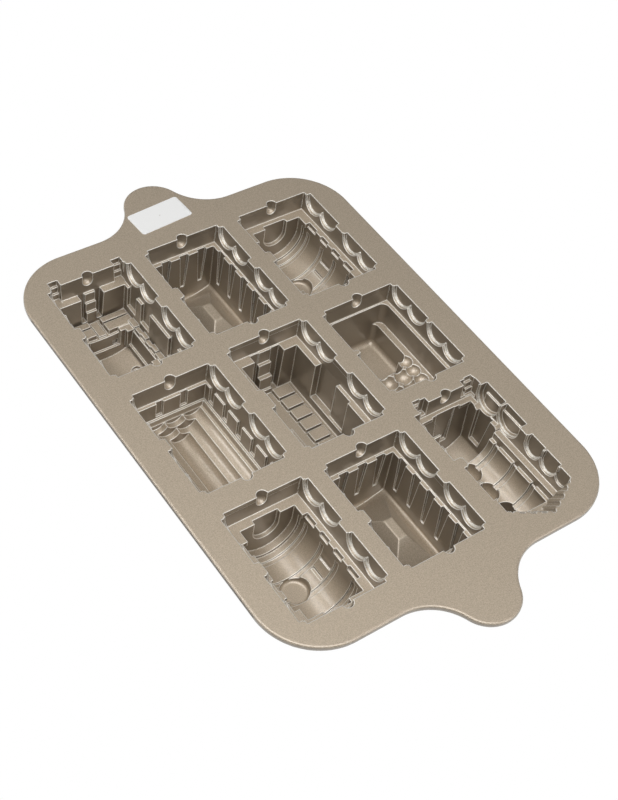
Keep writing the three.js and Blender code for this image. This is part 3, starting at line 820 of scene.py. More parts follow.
@dataclass(frozen=True)
class Boxcar(Car):
    """A sliding door, roof panels either side of a running board, and a ladder up each end."""

    length: float = 96.0
    half: float = 22.3
    half_length: float = 39.3
    roof: float = 51.5
    porch: Pair = (12.0, 45.6)
    rungs: tuple[Pair, ...] = ((44.7, 14.0), (42.3, 25.0), (39.2, 36.0), (37.5, 47.0))
    doors: tuple[tuple[Span, float], ...] = ((Span(-4.0, 17.0), 27.2), (Span(-20.0, -4.0), 24.4))
    door_depth: float = 45.0
    rung_half: float = 5.0
    rung_back: float = 52.0
    panel_across: Pair = (4.8, 18.0)
    panel_height: float = 3.4
    panel_pitch: float = 10.75
    panel_half: float = 4.5

    def _body(self, grow: float, top: float, rounding: float) -> list[Shape]:
        """Returns the body, the porches and the doorways.

        Args:
            grow: How far the forms are moved out: nothing for the hollow, the wall for the outside.
            top: Depth that upright forms start from.
            rounding: Radius of the rounded edges.
        """
        low = self.roof + grow
        px, py = self.porch
        forms: list[Shape] = [
            Block(mid(self.half + grow), mid(self.half_length + grow), Span(top, low), 0.0, rounding),
            Block(mid(px + grow), mid(py + grow), Span(top, low), PORCH_DRAFT, rounding),
        ]
        for side in SIDES:
            for span, reach in self.doors:
                across = flank(side, 0.0, reach + grow)
                forms.append(Block(across, span.grown(grow), Span(top, self.door_depth + grow), 0.0, rounding))
        return forms

    def cavity(self) -> list[Shape]:
        """Returns the sill, the body, the porches and the doorways."""
        return self.gear() + self._body(0.0, IN_SILL, INNER)

    def cores(self) -> list[Shape]:
        """Returns the ladders' rungs and the roof panels."""
        forms: list[Shape] = []
        for side in SIDES:
            for y, depth in self.rungs:
                along = flank(side, y, self.rung_back)
                forms.append(Block(mid(self.rung_half), along, Span(depth, BENEATH), 0.0, TRIM))
            for place in range(-3, 4):
                across = flank(side, *self.panel_across)
                along = Span.about(place * self.panel_pitch, self.panel_half)
                forms.append(Block(across, along, Span(self.roof - self.panel_height, BENEATH), 0.0, CRISP))
        return forms

    def shell(self) -> list[Shape]:
        """Returns the outside of the body."""
        return self.gear_shell() + self._body(WALL, SILL, OUTER)


@dataclass(frozen=True)
class LogCar(Car):
    """Stakes round a flat bed that carries a pile of logs."""

    bed: Triple = (25.6, 40.5, 28.4)
    pocket_depth: float = 31.6
    radius: float = 8.0
    spacing: float = 14.0
    rows: tuple[tuple[int, float], ...] = ((3, 37.4), (2, 33.0), (1, 28.5))
    first_row: float = 27.5
    row_drop: float = 5.25
    stake: Triple = (1.7, 2.6, 26.7)
    stake_pitch: float = 16.4
    end_stakes: Pair = (-9.2, 9.2)
    pocket_insets: tuple[Pair, Pair] = ((1.0, 1.1), (3.2, 2.8))
    bed_round: float = 0.35
    bed_edge: float = 0.8
    overlap: float = 3.0

    def _pile(self, grow: float, rounding: float) -> list[Shape]:
        """Returns the logs row by row, each row with one log fewer and a shorter length.

        Args:
            grow: How far the forms are moved out: nothing for the hollow, the wall for the outside.
            rounding: Radius of the rounded edges.
        """
        forms: list[Shape] = []
        top = self.bed[2] - self.overlap
        for row, (count, half) in enumerate(self.rows):
            centre = self.first_row + row * self.row_drop
            for i in range(count):
                x = (i - (count - 1) / 2) * self.spacing
                forms.append(Trough(x, self.radius + grow, centre, mid(half + grow), top, rounding))
        return forms

    def cavity(self) -> list[Shape]:
        """Returns the bed, the pocket in it, the stakes' slots and the logs."""
        bx, by, low = self.bed
        reach, half, stake_depth = self.stake
        forms: list[Shape] = [
            Block(mid(bx), mid(by), Span(IN_SILL, low), 0.0, self.bed_round),
            Taper(
                *[(mid(bx - dx), mid(by - dy)) for dx, dy in self.pocket_insets],
                Span(low - 1.0, self.pocket_depth), TRIM,
            ),
        ]
        for side in SIDES:
            for y in np.arange(-2, 3) * self.stake_pitch:
                across = flank(side, 0.0, bx + reach)
                forms.append(Block(across, Span.about(float(y), half), Span(IN_SILL, stake_depth), 0.0, TRIM))
            for x in self.end_stakes:
                along = flank(side, 0.0, by + reach)
                forms.append(Block(Span.about(x, half), along, Span(IN_SILL, stake_depth), 0.0, TRIM))
        return self.gear() + forms + self._pile(0.0, self.bed_round)

    def shell(self) -> list[Shape]:
        """Returns the outside of the bed and the pile."""
        bx, by, low = self.bed
        edge = self.bed_edge + WALL
        bed = Block(mid(bx + edge), mid(by + edge), Span(SILL, low + WALL), 0.0, OUTER)
        return self.gear_shell() + [bed] + self._pile(WALL, OUTER)


@dataclass(frozen=True)
class Tender(Car):
    """A water tank behind and a bunker heaped with lumps of coal in front."""

    length: float = 82.5
    half: float = 24.6
    end: float = 38.65
    tub_depth: float = 32.0
    tub_corner: float = 5.0
    tub_draft: float = 0.6
    tub_round: float = 0.6
    tank_depth: float = 50.0
    tank_overlap: float = 9.0
    tank_inset: float = 0.3
    tank_draft: float = 0.8
    tank_round: float = 3.4
    tanks: tuple[Pair, ...] = ((19.3, 0.5), (12.5, -7.0))
    lump_depth: float = 31.0
    lump_drop: float = 5.7
    bunker_end: float = 8.0
    bunker_draft: float = 2.0
    lumps: tuple[tuple[float, float, tuple[float, ...]], ...] = (
        (16.0, 5.2, (-1.8, -11.0, -20.2, -29.5)),
        (6.2, 6.6, (-12.5, -23.0, -33.0)),
    )

    def _body(self, grow: float, top: float, rounding: float) -> list[Shape]:
        """Returns the tub and the tank in it.

        Args:
            grow: How far the forms are moved out: nothing for the hollow, the wall for the outside.
            top: Depth that upright forms start from.
            rounding: Radius of the rounded edges.
        """
        depths = Span(top, self.tub_depth + grow)
        plan = mid(self.half + grow), mid(self.end + grow)
        forms: list[Shape] = [Block(*plan, depths, self.tub_draft, rounding, self.tub_corner + grow)]
        for wide, front in self.tanks:
            forms.append(Block(
                mid(wide + grow), Span(front - grow, self.end - self.tank_inset + grow),
                Span(self.tub_depth - self.tank_overlap, self.tank_depth + grow),
                self.tank_draft, rounding + self.tank_round,
            ))
        return forms

    def cavity(self) -> list[Shape]:
        """Returns the sill, the tub, the tank and the coal."""
        forms = self._body(0.0, IN_SILL, self.tub_round)
        for x, radius, places in self.lumps:
            forms += [Ball(side * x, y, self.lump_depth, radius) for side in SIDES for y in places]
        return self.gear() + forms

    def shell(self) -> list[Shape]:
        """Returns the outside of the tub and the tank."""
        low = self.lump_depth + self.lump_drop + WALL
        along = Span(-self.end - WALL, self.bunker_end)
        bunker = Block(mid(self.half + WALL), along, Span(SILL, low), self.bunker_draft, GEAR_ROUND)
        return self.gear_shell() + self._body(WALL, SILL, OUTER) + [bunker]


@dataclass(frozen=True)
class Caboose(Car):
    """Rear platform steps, a ladder, side windows, a panelled roof and a cupola."""

    half: float = 25.0
    half_length: float = 37.2
    eaves: float = 37.0
    crown: float = 40.0
    porch: Pair = (8.8, 42.9)
    rungs: tuple[Pair, ...] = ((41.0, 14.0), (39.2, 21.6), (37.4, 29.2))
    windows: Triple = (-26.1, 9.45, 27.35)
    window: Triple = (2.5, 5.6, 31.0)
    cupola_top: Pair = (20.3, 20.5)
    cupola_foot: Triple = (18.7, 19.9, 52.5)
    top_roof: Triple = (17.0, 18.0, 54.5)
    chimney: tuple[float, ...] = (12.3, -3.0, 3.2)
    platform: float = 5.4
    tread_across: Pair = (20.6, 27.6)
    tread_run: float = 1.8
    tread_drop: float = 4.7
    overlap: float = 3.0
    rung_half: float = 4.0
    rung_back: float = 48.0
    rung_foot: float = 48.0
    pad_across: Pair = (4.6, 24.2)
    pad_foot: float = 46.0
    pad_rise: float = 1.2
    side_rise: float = 2.4
    board: tuple[float, Span, float] = (2.8, Span(22.1, 35.8), 1.4)
    back: float = 24.0
    post_rise: float = 0.6
    foot_rise: Pair = (2.4, 1.0)
    pads: tuple[Span, ...] = (Span(22.1, 29.6), Span(30.8, 35.6))
    side_pads: tuple[tuple[float, float, Span], ...] = (
        (20.6, 24.6, Span(15.5, 24.0)), (20.6, 23.6, Span(8.2, 14.6)), (21.6, 24.6, Span(2.2, 9.0)),
        (20.6, 23.6, Span(-5.0, 1.2)), (21.6, 24.6, Span(-11.0, -4.2)), (20.6, 24.6, Span(-24.0, -12.0)),
    )
    corner_posts: tuple[Pair, ...] = ((11.8, 18.3), (15.6, 15.6))
    foot_bar: float = 1.6
    vent: Block = Block(Span.about(8.8, 1.8), Span(18.0, 22.4), Span(45.4, 49.0))

    def reach(self) -> Reach:
        """Returns how far the mouth goes, with the platform at the far end."""
        return Reach(self.length / 2 + self.platform, self.length / 2 + COUPLER)

    def _body(self, grow: float, top: float, rounding: float) -> list[Shape]:
        """Returns the body, the porches, the cupola, the windows and the platform steps.

        Args:
            grow: How far the forms are moved out: nothing for the hollow, the wall for the outside.
            top: Depth that upright forms start from.
            rounding: Radius of the rounded edges.
        """
        tx, ty = self.cupola_top
        cx, cy, ce = self.cupola_foot
        rx, ry, re = self.top_roof
        px, py = self.porch
        fx, fy, fr = self.chimney
        reach, half, low = self.window
        eaves = self.eaves + grow
        forms: list[Shape] = [
            Arch(self.half + grow, mid(self.half_length + grow), top, eaves, self.crown + grow, rounding),
            Block(mid(px + grow), mid(py + grow), Span(top, eaves), PORCH_DRAFT, rounding),
            Taper(
                (mid(tx + grow), mid(ty + grow)),
                (mid(cx + grow), mid(cy + grow)),
                Span(self.eaves - self.overlap, ce + grow), rounding,
            ),
            Arch(rx + grow, mid(ry + grow), ce - self.overlap, re, ROOF + grow, rounding),
            Drum(fx, fy, fr + grow, fr + grow, Span(ce, ROOF + grow), rounding),
        ]
        for side in SIDES:
            across = flank(side, 0.0, self.half + reach + grow)
            for y in self.windows:
                forms.append(Block(across, Span.about(y, half + grow), Span(top, low + grow), 0.0, rounding))
            for tread in range(3):
                across = flank(side, *self.tread_across).grown(grow)
                end = self.length / 2
                run = Span(end - self.behind_wall, end + self.platform - self.tread_run * tread + grow)
                depths = Span(ABOVE if grow == 0 else 0.0, self.tread_drop * (tread + 1) + grow)
                forms.append(Block(across, run, depths, 0.0, rounding / 2))
        return forms

    def cavity(self) -> list[Shape]:
        """Returns the sill, the body, the cupola, the windows and the platform."""
        return self.gear() + self._body(0.0, IN_SILL, INNER) + [self.vent]

    def cores(self) -> list[Shape]:
        """Returns the ladders' rungs, the running board and the roof's panels."""
        forms: list[Shape] = []
        cx, cy, ce = self.cupola_foot
        foot = Span(ce - self.foot_rise[0], ce + self.foot_rise[1])
        roof = Span(self.eaves - self.pad_rise, self.pad_foot)
        sides = Span(self.eaves - self.side_rise, self.pad_foot)
        board, run, rise = self.board
        for end in SIDES:
            for y, depth in self.rungs:
                along = flank(end, y, self.rung_back)
                forms.append(Block(mid(self.rung_half), along, Span(depth, self.rung_foot), 0.0, TRIM))
            for pad in self.pads:
                along = flank(end, pad.lo, pad.hi)
                forms += [Block(flank(side, *self.pad_across), along, roof, 0.0, CRISP) for side in SIDES]
            forms += [Block(flank(end, x0, x1), pad, sides, 0.0, CRISP) for x0, x1, pad in self.side_pads]
            for side in SIDES:
                for x, y in self.corner_posts:
                    across, along = flank(side, x, self.back), flank(end, y, self.back)
                    forms.append(Block(across, along, Span(self.eaves - self.post_rise, ce), 0.0, TRIM))
            forms.append(Block(mid(cx), flank(end, cy - self.foot_bar, self.back), foot, 0.0, TRIM))
            forms.append(Block(flank(end, cx - self.foot_bar, self.back), mid(cy), foot, 0.0, TRIM))
            depths = Span(self.crown - rise, self.pad_foot)
            forms.append(Block(mid(board), flank(end, run.lo, run.hi), depths, 0.0, TRIM))
        return forms

    def shell(self) -> list[Shape]:
        """Returns the outside of the body."""
        return self.gear_shell() + self._body(WALL, SILL, OUTER)


@dataclass(frozen=True)
class Locomotive(Car):
    """A cab behind, a boiler with bands, domes and chimney, driving wheels and a pilot in front."""

    sill: float = 24.5
    rear: float = 53.2
    front: float = 43.5
    tip: float = 57.0
    shoulder: Pair = (13.0, 50.5)
    cab: tuple[float, Span, float] = (20.5, Span(20.8, 47.5), 48.7)
    cab_lip: float = 49.6
    pilot: Triple = (0.75, 11.0, 0.6)
    boiler: Triple = (16.5, 23.0, -43.0)
    boards: tuple[Triple, ...] = ((24.0, -42.0, 17.0), (19.2, -42.5, 22.5))
    bands: Triple = (13.9, -4.8, -23.6)
    band_half: float = 2.0
    band_rise: float = 1.9
    band_board: Pair = (19.2, 24.4)
    rod: tuple[Pair, Span, Span] = ((28.5, 33.0), Span(8.5, 44.0), Span(5.4, 22.0))
    ledge_pad: tuple[Pair, Span, Span] = ((11.5, 20.5), Span(48.3, 53.2), Span(SILL, 17.0))
    sill_draft: float = 0.4
    notch: tuple[Pair, float, float] = ((15.0, 20.0), 57.4, 12.0)
    tread_across: Pair = (19.0, 25.0)
    tread_widening: float = 0.5
    chimney_round: float = 0.6
    domes: Pair = (13.3, -5.1)
    dome: Triple = (6.0, 7.8, 10.0)
    dome_depth: float = 38.0
    chimney: tuple[float, ...] = (-22.5, 7.0, 6.2, 53.0)
    treads: tuple[Pair, ...] = ((58.4, 4.2), (56.4, 8.8), (54.8, 13.2))
    door: tuple[float, ...] = (8.0, 6.0, 49.8, 45.0)
    window_reach: float = 23.3
    window_sill: Span = Span(27.0, 41.0)
    window_foot: Span = Span(31.1, 40.7)
    window_depth: float = 44.6
    wheels: tuple[WheelSet, ...] = (
        WheelSet((16.6, 38.0), 10.6, 6.4),
        WheelSet((-23.7, -8.4), 7.6, 4.0),
        WheelSet((-37.0,), 5.6, 2.4),
    )

    def reach(self) -> Reach:
        """Returns how far the mouth goes, with the pilot at the near end."""
        return Reach(self.rear + COUPLER, self.tip)

    def wheel_sets(self) -> list[WheelSet]:
        """Returns the driving wheels, the middle wheels and the pilot's wheels."""
        return list(self.wheels)

    def _frame(self, grow: float, top: float, rounding: float) -> list[Shape]:
        """Returns the sill, the running boards, the pilot and the rear steps.

        Args:
            grow: How far the forms are moved out: nothing for the hollow, the wall for the outside.
            top: Depth that upright forms start from.
            rounding: Radius of the rounded edges.
        """
        start = ABOVE if grow == 0 else 0.0
        shoulder = self.shoulder[0] + grow, self.shoulder[1] + grow
        sill = mid(self.sill + grow), Span(-self.front - grow, self.rear + grow)
        forms: list[Shape] = [
            Block(*sill, Span(start, SILL + grow), self.sill_draft, rounding),
        ]
        lean, low, rib = self.pilot
        forms.append(Plough(
            self.sill + grow, shoulder, self.front + grow, self.tip + grow, Span(start, low + grow), lean,
            rib if grow == 0 else 0.0, rounding,
        ))
        for half, nose, low in self.boards:
            along = Span(nose - grow, self.cab[1].lo + grow)
            forms.append(Block(mid(half + grow), along, Span(top, low + grow), 0.0, rounding))
        back = self.rear - self.behind_wall
        notch, notch_end, notch_low = self.notch
        near, far = self.tread_across
        for side in SIDES:
            steps = [(flank(side, *notch), notch_end, notch_low)]
            for tread, (y, low) in enumerate(self.treads):
                steps.append((flank(side, near, far + self.tread_widening * tread), y, low))
            for across, y, low in steps:
                depths = Span(start, low + grow)
                forms.append(Block(across.grown(grow), Span(back, y + grow), depths, 0.0, rounding / 2))
        return forms

    def _body(self, grow: float, top: float, rounding: float) -> list[Shape]:
        """Returns the cab with its door and windows, and the boiler with its domes and chimney.

        Args:
            grow: How far the forms are moved out: nothing for the hollow, the wall for the outside.
            top: Depth that upright forms start from.
            rounding: Radius of the rounded edges.
        """
        half, along, eaves = self.cab
        radius, centre, nose = self.boiler
        door_top, door_foot, door_reach, door_low = self.door
        well, well_top, well_foot, well_low = self.chimney
        reach = Span(along.lo, door_reach + grow)
        forms: list[Shape] = [
            Arch(half + grow, along.grown(grow), top, eaves + grow / 2, ROOF + grow, rounding),
            Taper(
                (mid(half + grow), Span(along.lo, self.cab_lip + grow)),
                (mid(half + grow), Span(along.lo, along.hi + grow)),
                Span(top, eaves + grow / 2), rounding,
            ),
            Trough(0.0, radius + grow, centre, Span(nose - grow, along.hi), top, rounding),
            Taper(
                (mid(door_top + grow), reach), (mid(door_foot + grow), reach),
                Span(top, door_low + grow), rounding,
            ),
            Drum(
                0, well, well_top + grow, well_foot + grow, Span(centre, well_low + grow),
                rounding + self.chimney_round,
            ),
        ]
        forms += [Egg(y, self.dome_depth, tuple(h + grow for h in self.dome)) for y in self.domes]
        for side in SIDES:
            across = flank(side, 0.0, self.window_reach + grow)
            forms.append(Taper(
                (across, self.window_sill.grown(grow)), (across, self.window_foot.grown(grow)),
                Span(top, self.window_depth + grow), rounding,
            ))
        return forms

    def cavity(self) -> list[Shape]:
        """Returns the frame, the wheels, the boiler with its bands and wells, and the cab."""
        radius, centre, _ = self.boiler
        forms = self._frame(0.0, IN_SILL, INNER) + self._body(0.0, IN_SILL, INNER) + self.coupler(self.rear)
        for y in self.bands:
            along = Span.about(y, self.band_half)
            forms.append(Trough(0, radius + self.band_rise, centre, along, centre - 2.0, BAND))
            forms.append(Block(mid(self.band_board[0]), along, Span(SILL, self.band_board[1]), 0.0, BAND))
        for side in SIDES:
            forms += self.wheel_hollows(side)
        return forms

    def cores(self) -> list[Shape]:
        """Returns the coupling rods on the driving wheels and the pads on the ledge behind the cab."""
        forms: list[Shape] = []
        for side in SIDES:
            for across, along, depths in (self.rod, self.ledge_pad):
                forms.append(Block(flank(side, *across), along, depths, 0.0, CRISP))
        return forms

    def shell(self) -> list[Shape]:
        """Returns the outside of the locomotive."""
        forms = self._frame(WALL, SILL, OUTER) + self._body(WALL, SILL, OUTER)
        forms.append(self.boss(self.rear))
        for side in SIDES:
            forms += self.wheel_shells(side)
        return forms


@dataclass(frozen=True)
class Moved(Shape):
    """A form moved to its car's place on the deck."""

    shape: Shape
    x: float
    y: float

    def box(self) -> Box:
        """Returns the stretches of x, y and depth it takes up."""
        bx, by, bd = self.shape.box()
        return Span(bx.lo + self.x, bx.hi + self.x), Span(by.lo + self.y, by.hi + self.y), bd

    def distance(self, x: Array, y: Array, d: Array) -> Array:
        """Returns how far points lie outside the form."""
        return self.shape.distance(x - self.x, y - self.y, d)


@dataclass(frozen=True)
class Tray(Shape):
    """The deck plate: a rounded rectangle with a lobe at each end and a rounded rim.

    In plan its distance is that of the rounded rectangle beyond the flanks' start, the flank radius less the distance
    from the flank's centre up to the line where flank and lobe touch, and the distance from the lobe's centre less
    the lobe's radius beyond it. The plan meets the top and bottom faces with a rounded edge.
    """

    half: float
    half_length: float
    reach: float
    corner: float = 43.0
    lobe: float = 22.0
    flank: float = 35.0
    rim: float = 1.3
    thickness: float = DECK

    def box(self) -> Box:
        """Returns the stretches of x, y and depth it takes up."""
        return mid(self.half), mid(self.reach), Span(0.0, self.thickness)

    def plan(self, x: Array, y: Array) -> Array:
        """Measures points against the outline.

        Args:
            x: Places across the pan.
            y: Places along the pan.

        Returns:
            How far the points lie outside the outline.
        """
        ax, ay = np.abs(x), np.abs(y)
        plate = meet(self.corner, ax - self.half, ay - self.half_length)
        lobe_y = self.reach - self.lobe
        rise = self.half_length + self.flank - lobe_y
        run = np.sqrt((self.lobe + self.flank) ** 2 - rise**2)
        side = run * (ay - lobe_y) - rise * ax
        hollow = self.flank - np.hypot(ax - run, ay - self.half_length - self.flank)
        lobe = np.hypot(ax, ay - lobe_y) - self.lobe
        inner = np.maximum(np.where(side < 0, hollow, lobe), np.where(side < 0, ax - self.half, -FAR))
        return np.where((ax < run) & (ay > self.half_length - self.corner), inner, plate)

    def distance(self, x: Array, y: Array, d: Array) -> Array:
        """Returns how far points lie outside the plate."""
        return meet(self.rim, self.plan(x, y), d - self.thickness, -d)


@dataclass(frozen=True)
class Net:
    """A mesh of faces that all have the same number of sides.

    Attributes:
        points: One row of x, y and z for each corner, in millimetres.
        faces: One row of corner numbers for each face.
    """

    points: Array
    faces: Array

    def part(self, chosen: Array) -> "Net":
        """Returns the chosen faces with only the corners that they use."""
        faces = self.faces[chosen]
        used, numbers = np.unique(faces, return_inverse=True)
        return Net(self.points[used], numbers.reshape(faces.shape))

    def middles(self) -> Array:
        """Returns the middle of each face."""
        return self.points[self.faces].mean(axis=1)

    @staticmethod
    def joined(nets: Sequence["Net"]) -> "Net":
        """Returns several meshes as one."""
        starts = np.cumsum([0] + [len(net.points) for net in nets])
        faces = [net.faces + start for net, start in zip(nets, starts)]
        return Net(np.concatenate([net.points for net in nets]), np.concatenate(faces))


class Mesher:
    """Meshes the zero surface of a field and keeps its sharp edges.

    Every cell of eight samples that the surface passes through gets one corner. Where the surface crosses a cell's
    edges, the place is found on the field itself and a tangent plane is laid there. The corner is the point nearest to
    all the cell's planes, by least squares with a slight pull to the mean of the crossings, kept inside the cell: on a
    flat face it lies in the face, and at an edge or a corner of the form it lies on it. Every sample-to-sample edge
    that the surface crosses gets a face between its four cells.
    """

    pull: float = 0.04
    probe: float = 0.01
    closer_looks: int = 3
    nearest: float = 0.1
    sharper: float = 0.001

    def __init__(self, volume: Volume, measure: Callable[[Cloud], None]) -> None:
        """Keeps the field and finds the cells on its surface.

        Args:
            volume: The field, negative inside the material.
            measure: Fills in the field of loose points in the same way.
        """
        self.volume, self.measure = volume, measure
        self.inside = volume.field < 0.0
        self.shape = np.array(volume.field.shape) - 1
        count = np.zeros(self.shape, np.int8)
        for i, j, k in np.ndindex(2, 2, 2):
            count += self.inside[i:i + self.shape[0], j:j + self.shape[1], k:k + self.shape[2]]
        self.cells = np.argwhere((count > 0) & (count < 8))
        self.number = np.full(self.shape, -1, np.int32)
        self.number[tuple(self.cells.T)] = np.arange(len(self.cells), dtype=np.int32)

    def _values(self, points: Array) -> Array:
        """Returns the field at loose points."""
        cloud = Cloud(points)
        self.measure(cloud)
        return cloud.field

    def _places(self, samples: Array) -> Array:
        """Returns where the samples with these numbers lie."""
        return np.stack([axis[samples[:, i]] for i, axis in enumerate(self.volume.axes)], axis=1)

    def _crossings(self, edges: Array, axis: int) -> tuple[Array, Array]:
        """Finds where the surface crosses edges, by closer and closer looks at the field.

        Args:
            edges: Numbers of the sample that each edge starts at.
            axis: Direction of the edges.

        Returns:
            The places, and which way the surface faces there.
        """
        step = np.eye(3, dtype=int)[axis]
        low, high = self._places(edges), self._places(edges + step)
        at_low = self.volume.field[tuple(edges.T)].astype(float)
        at_high = self.volume.field[tuple((edges + step).T)].astype(float)
        for _ in range(self.closer_looks):
            share = np.clip(at_low / (at_low - at_high), self.nearest, 1.0 - self.nearest)[:, None]
            spot = low + share * (high - low)
            value = self._values(spot)
            same = ((value < 0) == (at_low < 0))
            low, high = np.where(same[:, None], spot, low), np.where(same[:, None], high, spot)
            at_low, at_high = np.where(same, value, at_low), np.where(same, at_high, value)
        spot = low + (at_low / (at_low - at_high))[:, None] * (high - low)
        value = self._values(spot)
        slope = [self._values(spot + self.probe * unit) - value for unit in np.eye(3)]
        facing = np.stack(slope, axis=1)
        return spot, facing / np.maximum(np.linalg.norm(facing, axis=1), TINY)[:, None]

    def _ring(self, edges: Array, axis: int) -> Array:
        """Finds the cells round edges.

        Args:
            edges: Numbers of the sample that each edge starts at.
            axis: Direction of the edges.

        Returns:
            The numbers of the four cells round each edge, with -1 for none.
        """
        b, c = (axis + 1) % 3, (axis + 2) % 3
        ring = []
        for db, dc in ((-1, -1), (0, -1), (0, 0), (-1, 0)):
            cell = edges.copy()
            cell[:, b] += db
            cell[:, c] += dc
            fits = (cell >= 0).all(axis=1) & (cell < self.shape).all(axis=1)
            ring.append(np.where(fits, self.number[tuple(np.clip(cell, 0, self.shape - 1).T)], -1))
        return np.stack(ring, axis=1)

    def net(self) -> Net:
        """Returns the mesh, with faces turned outwards."""
        total = len(self.cells)
        sums = np.zeros((total, 16))
        faces = []
        for axis in range(3):
            first = np.take(self.inside, np.arange(self.shape[axis]), axis=axis)
            second = np.take(self.inside, np.arange(1, self.shape[axis] + 1), axis=axis)
            edges = np.argwhere(first != second)
            spot, facing = self._crossings(edges, axis)
            planes = (facing[:, :, None] * facing[:, None, :]).reshape(-1, 9)
            level = (facing * spot).sum(axis=1)[:, None] * facing
            rows = np.concatenate([planes, level, spot, np.ones((len(edges), 1))], axis=1)
            ring = self._ring(edges, axis)
            for cell in ring.T:
                used = cell >= 0
                for column in range(rows.shape[1]):
                    sums[:, column] += np.bincount(cell[used], rows[used, column], total)
            own = (ring >= 0).all(axis=1) & (edges > 0).all(axis=1)
            quads = ring[own]
            outward = first[tuple(edges[own].T)][:, None]
            faces.append(np.where(outward, quads, quads[:, ::-1]))
        mean = sums[:, 12:15] / np.maximum(sums[:, 15:], 1.0)
        planes = sums[:, :9].reshape(-1, 3, 3)
        wanted = sums[:, 9:12] - np.einsum("nij,nj->ni", planes, mean)
        shift = np.linalg.solve(planes + self.pull * np.eye(3), wanted[:, :, None])[:, :, 0]
        points = np.clip(mean + shift, self._places(self.cells), self._places(self.cells + 1))
        return Net(points, self._halved(points, np.concatenate(faces)))

    def _halved(self, points: Array, quads: Array) -> Array:
        """Splits faces along the diagonal with the stronger crease.

        Args:
            points: The mesh's corners.
            quads: Faces of four corners.

        Returns:
            The triangles, two for each face.
        """
        splits, bends = [], []
        for first, second in (((0, 1, 2), (0, 2, 3)), ((1, 2, 3), (1, 3, 0))):
            halves = quads[:, first], quads[:, second]
            facing = []
            for half in halves:
                a, b, c = (points[half[:, i]] for i in range(3))
                cross = np.cross(b - a, c - a)
                facing.append(cross / np.maximum(np.linalg.norm(cross, axis=1), TINY)[:, None])
            splits.append(halves)
            bends.append((facing[0] * facing[1]).sum(axis=1))
        other = (bends[1] < bends[0] - self.sharper)[:, None]
        return np.concatenate([np.where(other, splits[1][i], splits[0][i]) for i in range(2)])


@dataclass(frozen=True)
class Berth:
    """A car at its place on the deck, with the part of the deck that is its own."""

    node: str
    car: Car
    x: float
    y: float
    area: tuple[Span, Span]

    def moved(self, shapes: Iterable[Shape]) -> list[Moved]:
        """Returns the car's forms at its place."""
        return [Moved(shape, self.x, self.y) for shape in shapes]


